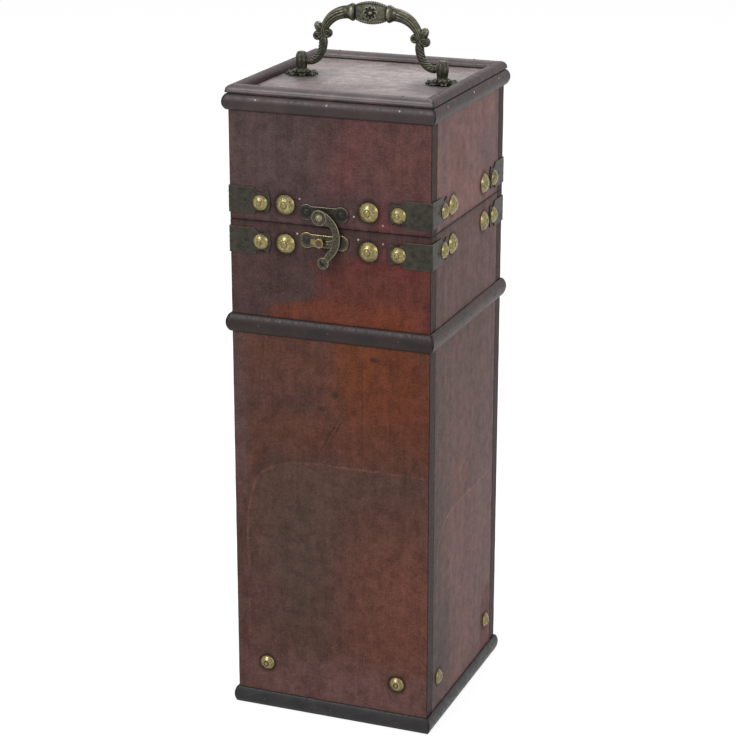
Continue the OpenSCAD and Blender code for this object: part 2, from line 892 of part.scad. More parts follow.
module half_bail() {
  // pivot pin and the lower arm, which bows in under the knot
  translate([foot_x - arm_r, 0, 0]) rotate([0, 90, 0])
    cylinder(r = bail_pin_r, h = arm_r + bail_gap + pin_reach);
  translate([arm_x, 0, 0]) rotate([0, 90, 0]) cylinder(r = arm_r, h = foot_x - arm_x);
  bent_bar(arm_x, arm_bend, arm_bend, arm_r, 180, 270);
  translate([knot_x, arm_bend, 0]) rotate([-90, 0, 0]) cylinder(r = arm_r, h = knot_y - arm_bend);
  // knot of three scrolls between the arms
  for (scroll = knot_scrolls) ball(knot_x + scroll[0], knot_y + scroll[1], scroll[2]);
  // upper arm, collar and half of the grip's core
  bent_bar(grip_half, grip_y, grip_bend, grip_r, grip_end, 90);
  collar(grip_half, grip_up);
  translate([0, grip_up, 0]) rotate([0, 90, 0]) cylinder(r = oval_t, h = grip_half);
}

module handle_bail() {
  color("#4a4738")
    translate([0, handle_y, bail_z])
      rotate([90, 0, 0]) {
        half_bail();
        mirror([1, 0, 0]) half_bail();
        oval();
      }
}

// ---- Drawing ------------------------------------------------------------------------------

bottom_board();
box_board(FRONT);  // box_front
box_board(RIGHT);  // box_right
box_board(BACK);  // box_back
box_board(LEFT);  // box_left
base_strip(FRONT);  // base_front
base_strip(RIGHT);  // base_right
base_strip(BACK);  // base_back
base_strip(LEFT);  // base_left
band_strip(FRONT);  // band_front
band_strip(RIGHT);  // band_right
band_strip(BACK);  // band_back
band_strip(LEFT);  // band_left
box_strap(FRONT);  // box_strap_front_right
box_strap(RIGHT);  // box_strap_back_right
box_strap(BACK);  // box_strap_back_left
box_strap(LEFT);  // box_strap_front_left
box_strap_nails();
box_face_nails();
base_nails();
box_plate_nails();
box_brads();
catch_plate();
catch_post();
hinge_leaf(-1, -1);  // hinge_leaf_box_right
hinge_leaf(1, -1);  // hinge_leaf_box_left
hinge_pins();
top_board();
lid_board(FRONT);  // lid_front
lid_board(RIGHT);  // lid_right
lid_board(BACK);  // lid_back
lid_board(LEFT);  // lid_left
brow_strip(FRONT);  // brow_front
brow_strip(RIGHT);  // brow_right
brow_strip(BACK);  // brow_back
brow_strip(LEFT);  // brow_left
rim_strip(FRONT);  // rim_front
rim_strip(RIGHT);  // rim_right
rim_strip(BACK);  // rim_back
rim_strip(LEFT);  // rim_left
lid_strap(FRONT);  // lid_strap_front_right
lid_strap(RIGHT);  // lid_strap_back_right
lid_strap(BACK);  // lid_strap_back_left
lid_strap(LEFT);  // lid_strap_front_left
lid_strap_nails();
lid_face_nails();
lid_plate_nails();
lid_brads();
hook_plate();
hook_rivet();
hinge_leaf(-1, 1);  // hinge_leaf_lid_right
hinge_leaf(1, 1);  // hinge_leaf_lid_left
handle_post(-1);  // handle_post_left
handle_post(1);  // handle_post_right
handle_rosette(-1);  // handle_rosette_left
handle_rosette(1);  // handle_rosette_right
handle_screws();
latch_hook();
handle_bail();
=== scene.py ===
# Wooden wine box: stained boards with half-round mouldings, corner straps, domed nails, a swing
# hook and a cast bail handle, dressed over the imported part. The front faces -Y, +Z is up.
import math

import bpy
import numpy as np
from mathutils import Matrix, Vector


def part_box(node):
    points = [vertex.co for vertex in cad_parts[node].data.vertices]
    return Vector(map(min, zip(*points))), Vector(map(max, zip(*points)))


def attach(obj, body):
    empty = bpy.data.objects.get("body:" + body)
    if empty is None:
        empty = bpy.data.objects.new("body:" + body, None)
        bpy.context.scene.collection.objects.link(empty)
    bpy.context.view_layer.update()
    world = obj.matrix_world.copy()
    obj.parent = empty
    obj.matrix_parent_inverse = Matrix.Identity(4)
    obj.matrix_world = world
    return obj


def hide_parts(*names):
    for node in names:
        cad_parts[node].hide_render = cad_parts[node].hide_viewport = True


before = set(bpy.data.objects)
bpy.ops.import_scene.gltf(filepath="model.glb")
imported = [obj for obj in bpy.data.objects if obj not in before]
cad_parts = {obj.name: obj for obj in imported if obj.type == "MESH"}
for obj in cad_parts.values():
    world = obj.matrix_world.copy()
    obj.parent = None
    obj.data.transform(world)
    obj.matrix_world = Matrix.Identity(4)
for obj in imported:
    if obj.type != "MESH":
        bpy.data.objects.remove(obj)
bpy.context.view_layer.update()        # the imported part: bodies, nodes, joints and record

# ---- Camera, floor and light --------------------------------------------------------------
# The box stands on a pale floor in soft studio light. A long lens looks at it from the right of
# the front and a little above, as in the photograph.
azimuth = math.radians(21.34)
elevation = math.radians(18.13)
right = Vector((math.cos(azimuth), math.sin(azimuth), 0))
back = Vector((math.sin(azimuth) * math.cos(elevation),
               -math.cos(azimuth) * math.cos(elevation), math.sin(elevation)))
eye = Vector((0.40899, -1.0493, 0.54791))
lens = bpy.data.cameras.new("camera")
lens.lens = 108.95
lens.sensor_width = 36
camera = bpy.data.objects.new("camera", lens)
camera.matrix_world = Matrix((right, back.cross(right), back)).transposed().to_4x4()
camera.matrix_world.translation = eye
scene = bpy.context.scene
scene.collection.objects.link(camera)
scene.camera = camera
scene.view_settings.view_transform = "Standard"


class Paint:
    """Adds nodes to a node tree. Every call gives back the new node's output socket."""

    def __init__(self, tree):
        self.tree = tree

    def put(self, kind, inputs=(), out=0, **settings):
        """A node of a kind. inputs gives its sockets, by name or number, a value or a link."""
        node = self.tree.nodes.new(kind if kind.startswith("Node") else "ShaderNode" + kind)
        for name, value in settings.items():
            setattr(node, name, value)
        for socket, value in dict(inputs).items():
            if isinstance(value, bpy.types.NodeSocket):
                self.tree.links.new(value, node.inputs[socket])
            else:
                node.inputs[socket].default_value = value
        return node.outputs[out] if len(node.outputs) else None

    def math(self, operation, *values):
        return self.put("Math", enumerate(values), operation=operation)

    def times(self, first, second):
        return self.math("MULTIPLY", first, second)

    def plus(self, first, second):
        return self.math("ADD", first, second)

    def minus(self, first, second):
        return self.math("SUBTRACT", first, second)

    def vector(self, operation, *values):
        return self.put("VectorMath", enumerate(values), operation=operation)

    def noise(self, vector, scale, detail, rough=0.5, distortion=0.0):
        return self.put("TexNoise", {"Vector": vector, "Scale": scale, "Detail": detail,
                                     "Roughness": rough, "Distortion": distortion})

    def step(self, value, low, high, start=0.0, end=1.0):
        """Smooth step from start, where value is low, to end, where it is high."""
        return self.put("MapRange", {0: value, 1: low, 2: high, 3: start, 4: end},
                        interpolation_type="SMOOTHSTEP")

    def mix(self, factor, first, second):
        """A colour between two: the first where factor is 0, the second where it is 1."""
        return self.put("Mix", {0: factor, 6: first, 7: second}, out=2, data_type="RGBA")

    def parts(self, vector):
        """The three coordinates of a vector."""
        return list(self.put("SeparateXYZ", {0: vector}).node.outputs)

    def use(self, group, inputs):
        """Places a node group in this tree and gives back all its outputs."""
        return self.put("Group", inputs, node_tree=group).node.outputs


def new_material(name):
    """A material with an empty node tree, and the Paint that fills the tree."""
    material = bpy.data.materials.new(name)
    material.use_nodes = True
    material.node_tree.nodes.clear()
    return material, Paint(material.node_tree)


ambient = 0.55
world = bpy.data.worlds.new("studio")
world.use_nodes = True
world.node_tree.nodes.clear()
sky = Paint(world.node_tree)


def seen_white(paint, shown, lit):
    """A shader that camera, glossy and transmission rays see as shown, and light as lit."""
    rays = paint.put("LightPath").node.outputs
    seen = paint.math("MAXIMUM", rays["Is Camera Ray"], rays["Is Glossy Ray"])
    seen = paint.math("MAXIMUM", seen, rays["Is Transmission Ray"])
    return paint.put("MixShader", {0: seen, 1: lit, 2: shown})


soft = sky.put("Background", {"Color": (1, 1, 1, 1), "Strength": ambient})
white = sky.put("Background", {"Color": (1, 1, 1, 1), "Strength": 1.0})
sky.put("OutputWorld", {"Surface": seen_white(sky, white, soft)})
scene.world = world

floor_paint, ground = new_material("floor")
matt = ground.put("BsdfDiffuse", {"Color": (0.75, 0.75, 0.75, 1)})
shade = ground.put("BsdfDiffuse", {"Color": (0.3, 0.3, 0.3, 1)})
glow = ground.put("Emission", {"Color": (1, 1, 1, 1), "Strength": 0.8})
pale = ground.put("AddShader", {0: shade, 1: glow})
ground.put("OutputMaterial", {"Surface": seen_white(ground, pale, matt)})

floor_half = 3.0
floor_mesh = bpy.data.meshes.new("floor")
floor_corners = [(x * floor_half, y * floor_half, 0)
                 for x, y in ((-1, -1), (1, -1), (1, 1), (-1, 1))]
floor_mesh.from_pydata(floor_corners, [], [(0, 1, 2, 3)])
floor_mesh.materials.append(floor_paint)
floor = bpy.data.objects.new("floor", floor_mesh)
scene.collection.objects.link(floor)


lamp_target_z = 0.2


def lamp(name, place, size, power):
    """A soft square lamp that looks at the middle of the box."""
    data = bpy.data.lights.new(name, "AREA")
    data.size = size
    data.energy = power
    light = bpy.data.objects.new(name, data)
    light.location = place
    aim = Vector((0, 0, lamp_target_z)) - light.location
    light.rotation_euler = aim.to_track_quat("-Z", "Y").to_euler()
    scene.collection.objects.link(light)


lamp("key", (-0.7, -1.5, 1.3), 0.7, 17)
lamp("fill", (1.6, -0.6, 0.9), 0.9, 8)
lamp("top", (0.1, 0.7, 1.6), 0.8, 11)

# ---- Wall boards --------------------------------------------------------------------------
# Plain boards, 8 mm thick, stained and lacquered unevenly by hand. The front and back boards
# cover the ends of the side boards. The lid is sawn from the same box.
MM = 0.001


def box_of(node):
    """Lowest and highest corner of a node, in millimetres."""
    return [np.array(corner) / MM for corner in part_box(node)]


def wobble(place, seed, pitch):
    """Smooth unevenness between about -1 and 1: five sines of like pitch with seeded phases,
    added up and divided by what they seldom pass."""
    random = np.random.default_rng(seed)
    waves = 0.0
    for _ in range(5):
        length = pitch * random.uniform(0.6, 1.8)
        waves = waves + np.sin(place * 2 * np.pi / length + random.uniform(0, 6.3))
    return waves / 3.2


def peak(value, at, width, power=2):
    """A bump of height 1: e to the minus of a power of the distance from its middle, in widths."""
    return np.exp(-((value - at) / width) ** power)


def once_round(count, start=0.0):
    """Evenly spaced angles, once round."""
    return np.linspace(start, start + 2 * np.pi, count + 1)[:-1]


def shell(grid, wear=0.0, grime=0.0):
    """Closed surface over a grid of points, rows by columns. Each row is a ring round the piece,
    quads join neighbouring rings, and a fan from the middle of the first and of the last ring
    closes the ends. The faces are reversed if they enclose a negative volume, so they turn
    outwards. wear and grime are marks that the material reads at each point."""
    rows, columns = grid.shape[:2]
    ring = np.arange(rows * columns).reshape(rows, columns)
    beside = np.roll(ring, -1, axis=1)
    quads = np.stack([ring[:-1], beside[:-1], beside[1:], ring[1:]], axis=-1).reshape(-1, 4)
    first = np.full(columns, rows * columns)
    fans = np.concatenate([np.stack([beside[0], ring[0], first], axis=-1),
                           np.stack([ring[-1], beside[-1], first + 1], axis=-1)])
    points = np.concatenate([grid.reshape(-1, 3), grid[[0, -1]].mean(axis=1)])
    marks = []
    for mark in (wear, grime):
        mark = np.broadcast_to(mark, (rows, columns))
        marks.append(np.concatenate([mark.ravel(), mark[[0, -1]].mean(axis=1)]))
    corners = points[np.concatenate([quads[:, :3], quads[:, [0, 2, 3]], fans])]
    volume = np.einsum("ij,ij->i", corners[:, 0], np.cross(corners[:, 1], corners[:, 2])).sum()
    if volume < 0:
        quads, fans = quads[:, ::-1], fans[:, ::-1]
    return points, quads, fans, marks


def add_piece(name, shells, material, body, slot, *nodes):
    """One mesh of closed shells, in millimetres, that stands for CAD nodes and rides on a body."""
    faces = []
    start = 0
    for points, quads, fans, _ in shells:
        faces += (quads + start).tolist() + (fans + start).tolist()
        start += len(points)
    mesh = bpy.data.meshes.new(name)
    mesh.from_pydata((np.concatenate([part[0] for part in shells]) * MM).tolist(), [], faces)
    mesh.polygons.foreach_set("use_smooth", np.ones(len(faces), dtype=bool))
    for number, mark in enumerate(("wear", "grime")):
        values = np.concatenate([part[3][number] for part in shells]).astype(np.float32)
        mesh.attributes.new(mark, "FLOAT", "POINT").data.foreach_set("value", values)
    mesh.materials.append(material)
    piece = bpy.data.objects.new(name, mesh)
    scene.collection.objects.link(piece)
    even = piece.modifiers.new("even_shading", "WEIGHTED_NORMAL")
    even.keep_sharp = True
    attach(piece, body)
    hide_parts(*nodes)


def section(half_across, half_deep, edge, across=9, deep=3, corner=3):
    """Rings of a bar with a rectangular section and quarter-round edges. Each ring has the four
    flat sides, divided evenly, and an arc at each corner. The sizes may differ from ring to ring.
    Gives across and deep as rings by points, and how far each point is round an edge, 0 to 1."""
    turn = np.linspace(0, np.pi / 2, corner + 2)
    along = []
    for side, count in enumerate((across, deep, across, deep)):
        flat = np.linspace(1, -1, count + 2)[1:-1]
        tops = np.stack([flat, np.ones(count), np.zeros(count), np.ones(count)])
        arc = np.stack([-np.ones(corner + 2), np.ones(corner + 2), -np.sin(turn), np.cos(turn)])
        both = np.concatenate([tops, arc], axis=1)
        for _ in range(side):
            both = np.stack([-both[1], both[0], -both[3], both[2]])
        along.append(both)
    span_a, span_d, arc_a, arc_d = np.concatenate(along, axis=1)[:, None, :]
    half_across, half_deep, edge = [np.atleast_1d(size)[:, None]
                                    for size in (half_across, half_deep, edge)]
    rounding = 2 * np.abs(arc_a * arc_d) + 0 * half_across
    return (span_a * (half_across - edge) + arc_a * edge,
            span_d * (half_deep - edge) + arc_d * edge, rounding)


def rounded_ends(start, stop, edge, count):
    """Stations along a bar, dense towards its rounded ends, and how much the section draws in
    there: edge less the height of a quarter circle of radius edge."""
    crowding = 0.8
    turn = np.linspace(0, np.pi / 2, 5)
    share = np.linspace(0, 1, count + 2)[1:-1]
    share = share - crowding * np.sin(2 * np.pi * share) / (2 * np.pi)
    middle = start + edge + (stop - start - 2 * edge) * share
    stations = np.concatenate([start + edge * (1 - np.cos(turn)), middle,
                               stop - edge * (1 - np.cos(turn[::-1]))])
    drawn_in = np.concatenate([edge * (1 - np.sin(turn)), 0 * middle,
                               edge * (1 - np.sin(turn[::-1]))])
    return stations, drawn_in


box_low, box_high = box_of("box_front")
half_w = box_high[0]
half_d = -box_low[1]
board_t = box_high[1] - box_low[1]
split_z = box_high[2]
lid_top = box_of("lid_front")[1][2]
FRONT, RIGHT, BACK, LEFT = range(4)
SIDE_NAMES = ("front", "right", "back", "left")


def wall_half(side):
    """Half the length of a wall along its face."""
    return half_d if side % 2 else half_w


def on_wall(side, along, out, height):
    """Points on a wall, as an array: along runs right as seen from outside, out points away from
    the wood, and the whole is turned by a quarter for each wall."""
    cosine, sine = [(1, 0), (0, 1), (-1, 0), (0, -1)][side]
    reach = out + (half_w if side % 2 else half_d)
    along, reach, height = np.broadcast_arrays(along, reach, height)
    return np.stack([cosine * along + sine * reach, sine * along - cosine * reach, height],
                    axis=-1)


def group_sockets(name, inputs, outputs):
    """New node group. inputs and outputs name its sockets and say their kinds."""
    group = bpy.data.node_groups.new(name, "ShaderNodeTree")
    for direction, sockets in (("INPUT", inputs), ("OUTPUT", outputs)):
        for socket, kind in sockets.items():
            group.interface.new_socket(socket, in_out=direction, socket_type="NodeSocket" + kind)
    paint = Paint(group)
    given = group.nodes.new("NodeGroupInput").outputs
    return group, paint, given


def linear(red, green, blue):
    """Colour of a node socket from red, green and blue as they show on a screen, 0 to 255."""
    shown = np.array([red, green, blue]) / 255
    value = np.where(shown < 0.04045, shown / 12.92, ((shown + 0.055) / 1.055) ** 2.4)
    return (*value.tolist(), 1.0)


# Uneven stain: two tones in large clouds, with a warmer third where the clouds are thin
stain_group, paint, given = group_sockets(
    "uneven_stain", {"Vector": "Vector", "Dark": "Color", "Mid": "Color", "Warm": "Color",
                     "Scale": "Float"}, {"Color": "Color"})
cloud = paint.noise(given["Vector"], given["Scale"], 4.0, 0.6, 0.5)
shift = paint.vector("ADD", given["Vector"], (0.31, 0.17, 0.53))
second = paint.noise(shift, paint.times(given["Scale"], 1.7), 5.0, 0.62, 0.8)
tone = paint.mix(paint.step(cloud, 0.36, 0.64), given["Dark"], given["Mid"])
tone = paint.mix(paint.step(second, 0.52, 0.72), tone, given["Warm"])
paint.put("NodeGroupOutput", {"Color": tone})

# One cloud of another colour: a rounded box of a given middle, half size and turn, with ragged
# edges. A tide line may run along the part of its edge that lies towards Rim Side
patch_group, paint, given = group_sockets(
    "stain_patch", {"Vector": "Vector", "Color": "Color", "Patch": "Color", "Middle": "Vector",
                    "Half Size": "Vector", "Turn": "Float", "Square": "Float", "Ragged": "Float",
                    "Soft": "Float", "Strength": "Float", "Rim": "Float", "Rim Color": "Color",
                    "Rim Side": "Vector"}, {"Color": "Color"})
turned = paint.put("VectorRotate", {"Vector": given["Vector"], "Center": given["Middle"],
                                    "Angle": given["Turn"]}, rotation_type="Y_AXIS")
off = paint.vector("DIVIDE", paint.vector("SUBTRACT", turned, given["Middle"]), given["Half Size"])
powers = [paint.math("POWER", away, given["Square"])
          for away in paint.parts(paint.vector("ABSOLUTE", off))]
reach = paint.plus(paint.plus(powers[0], powers[1]), powers[2])
reach = paint.math("POWER", reach, paint.math("DIVIDE", 1.0, given["Square"]))
ragged = paint.minus(paint.noise(given["Vector"], 90.0, 5.0, 0.65), 0.5)
reach = paint.plus(reach, paint.times(ragged, given["Ragged"]))
outer = paint.plus(1.0, given["Soft"])
mask = paint.step(reach, outer, paint.minus(1.0, given["Soft"]))
filled = paint.mix(paint.times(mask, given["Strength"]), given["Color"], given["Patch"])
edge_line = paint.step(paint.math("ABSOLUTE", paint.minus(reach, 1.0)), 0.014, 0.003)
toward = paint.put("VectorMath", {0: off, 1: given["Rim Side"]}, "Value", operation="DOT_PRODUCT")
edge_line = paint.times(edge_line, paint.step(toward, -0.4, 0.5, 0.12, 1.0))
broken = paint.step(paint.noise(given["Vector"], 140.0, 2.0), 0.35, 0.6, 0.35, 1.0)
edge_line = paint.times(paint.times(edge_line, broken), given["Rim"])
paint.put("NodeGroupOutput", {"Color": paint.mix(edge_line, filled, given["Rim Color"])})

# Fibres along the grain, short strokes across it from the sanding, specks, pores and pale flecks
grain_group, paint, given = group_sockets(
    "wood_grain", {"Vector": "Vector", "Stretch": "Vector", "Cross": "Vector", "Color": "Color",
                   "Depth": "Float"}, {"Color": "Color", "Roughness": "Float", "Height": "Float"})
along = paint.vector("MULTIPLY", given["Vector"], given["Stretch"])
fibre = paint.noise(along, 1300.0, 4.0, 0.6, 0.3)
across = paint.noise(paint.vector("MULTIPLY", given["Vector"], given["Cross"]), 1000.0, 4.0, 0.7)
speck = paint.noise(given["Vector"], 1600.0, 3.0, 0.7)
mottle = paint.noise(given["Vector"], 170.0, 5.0, 0.65)
long_streak = paint.noise(along, 200.0, 3.0, 0.55)
texture = paint.plus(paint.times(fibre, 0.18), paint.times(across, 0.27))
texture = paint.plus(texture, paint.times(speck, 0.55))
lift = paint.step(texture, 0.38, 0.62, -1.0, 1.0)
lift = paint.plus(lift, paint.step(long_streak, 0.3, 0.7, -0.25, 0.25))
lift = paint.plus(lift, paint.step(mottle, 0.3, 0.7, -0.7, 0.7))
gain = paint.plus(1.0, paint.times(lift, given["Depth"]))
gain = paint.put("CombineXYZ", {0: gain, 1: gain, 2: gain})
toned = paint.vector("MULTIPLY", given["Color"], gain)
pore = paint.step(speck, 0.36, 0.28)
toned = paint.mix(paint.times(pore, 0.45), toned, linear(30, 20, 17))
fleck = paint.step(speck, 0.68, 0.76)
toned = paint.mix(paint.times(fleck, 0.25), toned, linear(150, 120, 108))
sheen = paint.step(across, 0.3, 0.7, 0.36, 0.56)
paint.put("NodeGroupOutput", {"Color": toned, "Roughness": sheen, "Height": texture})

# Rubbed and dirty places: dark in the seams, pale where an edge is chipped
edge_group, paint, given = group_sockets(
    "rubbed_edges", {"Vector": "Vector", "Color": "Color", "Edge": "Color", "Chip": "Color",
                     "Wear": "Float", "Grime": "Float"}, {"Color": "Color"})
rough_noise = paint.noise(given["Vector"], 260.0, 5.0, 0.65)
dirt = paint.times(given["Grime"], paint.step(rough_noise, 0.2, 0.6, 0.5, 1.0))
dirty = paint.mix(dirt, given["Color"], linear(24, 19, 17))
worn = paint.times(given["Wear"], paint.step(rough_noise, 0.35, 0.6))
worn_color = paint.mix(worn, dirty, given["Edge"])
chipped = paint.times(given["Wear"], paint.step(rough_noise, 0.64, 0.7))
paint.put("NodeGroupOutput", {"Color": paint.mix(chipped, worn_color, given["Chip"])})


def mark_of(paint, name):
    """A mark that the mesh carries at its points."""
    return paint.put("Attribute", out=2, attribute_name=name)


UPRIGHT = {"Stretch": (1, 1, 0.09), "Cross": (0.5, 0.5, 1)}
UPRIGHT_PLAIN = {"Stretch": (1, 1, 0.05), "Cross": (1, 1, 0.6)}
LEVEL_X = {"Stretch": (0.05, 1, 1), "Cross": (1, 0.3, 0.3)}
LEVEL_Y = {"Stretch": (1, 0.05, 1), "Cross": (0.3, 1, 0.3)}


def stain(middle, half, tint, strength=0.7, ragged=0.9, soft=0.6, **more):
    """One cloud of colour on a board: its middle and half size in millimetres, its colour and its
    edge. Most clouds are stains, and on the top board some are painted sheen, painted reflection
    and painted shade.
    A Square of 2 makes it an ellipse, and a higher one more of a box."""
    found = {"Middle": [size * MM for size in middle], "Half Size": [size * MM for size in half],
             "Patch": linear(*tint), "Strength": strength, "Ragged": ragged, "Soft": soft,
             "Turn": 0.0, "Square": 2.6, "Rim": 0.0}
    found.update(more)
    return found


def tide_line(strength, tint, toward):
    """A thin line along the part of a cloud's edge that lies towards a direction."""
    return {"Rim": strength, "Rim Color": linear(*tint), "Rim Side": toward}


hollow_high = (*box_of("bottom_board")[1][:2], lid_top)
inside_tint = linear(78, 57, 48)
end_grain_tint = linear(46, 33, 30)


def wood(name, dark, mid, warm, grain, scale=22.0, stains=(), depth=0.28, shine=0.2,
         edge=(46, 34, 31), chip=(120, 88, 74), board_edge=None):
    """Stained wood with clouds on the outside, plain where it faces the hollow. board_edge is the
    distance from the middle past which the ends of a front or back board show on the side."""
    material, paint = new_material(name)
    place = paint.put("TexCoord", out=3)
    color = paint.use(stain_group, {"Vector": place, "Dark": linear(*dark), "Mid": linear(*mid),
                                    "Warm": linear(*warm), "Scale": scale})[0]
    for cloud in stains:
        color = paint.use(patch_group, {"Vector": place, "Color": color, **cloud})[0]
    away = [paint.math("ABSOLUTE", part) for part in paint.parts(place)]
    beyond = [paint.minus(part, high * MM) for part, high in zip(away, hollow_high)]
    beyond = paint.math("MAXIMUM", beyond[0], paint.math("MAXIMUM", beyond[1], beyond[2]))
    color = paint.mix(paint.step(beyond, 0.4 * MM, 0.2 * MM), color, inside_tint)
    if board_edge:
        end_face = paint.step(away[0], (board_edge - 0.45) * MM, (board_edge - 0.1) * MM)
        color = paint.mix(end_face, color, end_grain_tint)
    fibres = paint.use(grain_group, {"Vector": place, "Color": color, "Depth": depth, **grain})
    color = paint.use(edge_group, {
        "Vector": place, "Color": fibres["Color"], "Edge": linear(*edge), "Chip": linear(*chip),
        "Wear": mark_of(paint, "wear"), "Grime": mark_of(paint, "grime")})[0]
    bump = paint.put("Bump", {"Strength": 0.25, "Distance": 0.0003, "Height": fibres["Height"]})
    paint.put("OutputMaterial", {"Surface": paint.put("BsdfPrincipled", {
        "Base Color": color, "Roughness": fibres["Roughness"], "Specular IOR Level": shine,
        "Normal": bump})})
    return material


def nail_places(rows, inset, sides=range(4)):
    """Rows of nails: (side, place along, height) for two on each side, inset from its ends."""
    return [(side, end * (wall_half(side) - inset), height)
            for height in rows for side in sides for end in (-1, 1)]


def board(side, low_z, high_z, seed):
    """A wall board: an upright bar with a rectangular section and slightly rounded edges, whose
    rounding varies along the board. Dirt lies along its lower and upper edge."""
    half = wall_half(side) if side % 2 == 0 else wall_half(side) - board_t
    edge, ring_pitch = 0.4, 2.2
    stations, drawn_in = rounded_ends(low_z, high_z, edge, int((high_z - low_z) / ring_pitch))
    uneven = edge + 0.15 * wobble(stations, seed, 17) - 0.7 * drawn_in
    across, deep, rounding = section(half - drawn_in, board_t / 2 - drawn_in, uneven, across=15)
    height = stations[:, None] + 0 * across
    rounding = np.maximum(rounding, 2.5 * drawn_in[:, None])
    grid = on_wall(side, across, deep - board_t / 2, height)
    seam_off = np.minimum(high_z - height, height - low_z)
    seam = 0.7 * np.exp(-seam_off / 0.5) + 0.4 * np.exp(-seam_off / 1.6)
    return shell(grid, rounding, np.clip(seam, 0, 1))


lid_row = box_of("lid_face_nails")
box_row = box_of("box_face_nails")
base_row = box_of("base_nails")
large_r = (lid_row[1][2] - lid_row[0][2]) / 2
small_r = (base_row[1][2] - base_row[0][2]) / 2
lid_nail_z = lid_row[1][2] - large_r
box_nail_z = box_row[1][2] - large_r
base_nail_z = base_row[1][2] - small_r
small_in = 17.0
large_in = 31.0
front_large = (-23.6, 21.1)
strap_rows = (lid_nail_z, box_nail_z)
small_spots = nail_places(strap_rows, small_in)
base_spots = nail_places((base_nail_z,), small_in)
large_spots = nail_places(strap_rows, large_in, (RIGHT, LEFT))
large_spots += [(FRONT, x, height) for height in strap_rows for x in front_large]
# nails with a dark ring round them: their place and head radius
ringed_spots = [(*spot, large_r) for spot in large_spots]
ringed_spots += [(*spot, small_r) for spot in base_spots + small_spots]
through = 400       # half size of a cloud square to its board, so that it goes right through
# how far a dark ring reaches past a nail head, in millimetres
ring_width = 1.3


def nail_rings(side, low_z, high_z):
    """Dark rings on a board: a round dark cloud behind each of its nails, a little wider than the
    head.
    """
    clouds = []
    for at, along, height, radius in ringed_spots:
        if at == side and low_z < height < high_z:
            reach = radius + ring_width
            half = (through, reach, reach) if side % 2 else (reach, through, reach)
            clouds.append(stain(on_wall(side, along, 0.0, height), half, (32, 23, 20),
                                0.8, 0.35, 0.3, Square=2.0))
    return clouds


def front_stain(x, z, half_x, half_z, tint, *look, **more):
    """A cloud on the front or back: its middle and half size across and up."""
    return stain((x, -half_d, z), (half_x, through, half_z), tint, *look, **more)


def side_stain(y, z, half_y, half_z, tint, *look, **more):
    """A cloud on the right or left side."""
    return stain((half_w, y, z), (through, half_y, half_z), tint, *look, **more)


# The front stands in two colours: purple-brown above the band, with an orange wedge, and
# orange-brown below it, down to a tide line where the board was wet
scratch_turn = math.radians(61.7)
box_tones = ((72, 52, 47), (84, 57, 50), (92, 57, 46), UPRIGHT, 20.0)
lid_tones = ((70, 56, 56), (81, 61, 61), (89, 60, 56), UPRIGHT, 26.0)
board_shine = 0.06
box_front_wood = wood(
    "box_front_wood", *box_tones, board_edge=half_w, shine=board_shine, stains=[
        front_stain(31, 190, 27, 34, (95, 51, 34), 0.85),
        front_stain(14, 206, 11, 20, (104, 58, 36), 0.5, 1.0, 0.8),
        front_stain(-24, 200, 22, 16, (92, 58, 47), 0.5, 1.2, 0.7),
        front_stain(0, 158, 52, 12, (91, 55, 42), 0.45, 1.0, 0.7),
        front_stain(-52, 165, 6, 50, (84, 63, 61), 0.85, 0.7, 0.5),
        front_stain(28, 68, 75, 75, (81, 59, 52), 0.85, 0.05, 0.04, Square=5.5,
                    **tide_line(0.42, (127, 83, 72), (-0.8, 0, 0.3))),
        front_stain(38, 66, 26, 42, (101, 62, 52), 0.75, 0.9, 0.8),
        front_stain(-20, 92, 18, 38, (73, 59, 52), 0.65, 1.2, 0.8),
        front_stain(-41, 40, 15, 46, (83, 58, 54), 0.7, 0.6, 0.3),
        front_stain(4, 12, 60, 20, (97, 70, 67), 0.8, 0.9, 0.5),
        front_stain(0, 243, 90, 30, (69, 53, 52), 0.9, 0.2, 0.1),
        front_stain(36, 234, 42, 22, (89, 48, 42), 0.85, 0.7, 0.2, Square=3.5),
        front_stain(6, 222, 40, 9, (96, 52, 39), 0.85, 0.5, 0.2, Square=2.0),
        front_stain(32, 226, 14, 7, (106, 55, 38), 0.6, 1.0, 0.7),
        front_stain(40, 256, 20, 8, (98, 48, 50), 0.5, 1.0, 0.6),
        front_stain(24.1, 203.2, 2.2, 1.2, (56, 37, 34), 0.8, 0.7, 0.6),
        front_stain(2.8, 181.9, 1.6, 1.4, (53, 44, 39), 0.9, 0.7, 0.6),
        front_stain(-4.4, 173.5, 1.8, 1.3, (55, 42, 38), 0.8, 0.7, 0.6),
        front_stain(13.2, 174.1, 1.2, 1.0, (55, 42, 38), 0.6, 0.7, 0.6),
        front_stain(0, 160.6, 13, 0.45, (53, 40, 36), 0.7, 0.9, 0.6, Turn=scratch_turn),
        front_stain(3.6, 162.6, 10, 0.4, (53, 40, 36), 0.6, 0.9, 0.6, Turn=scratch_turn),
        front_stain(17.6, 176, 0.3, 34, (55, 40, 35), 0.55, 0.8, 0.6),
        front_stain(32.8, 172, 0.25, 30, (60, 41, 35), 0.4, 1.2, 0.6),
        *nail_rings(FRONT, 0, split_z)])
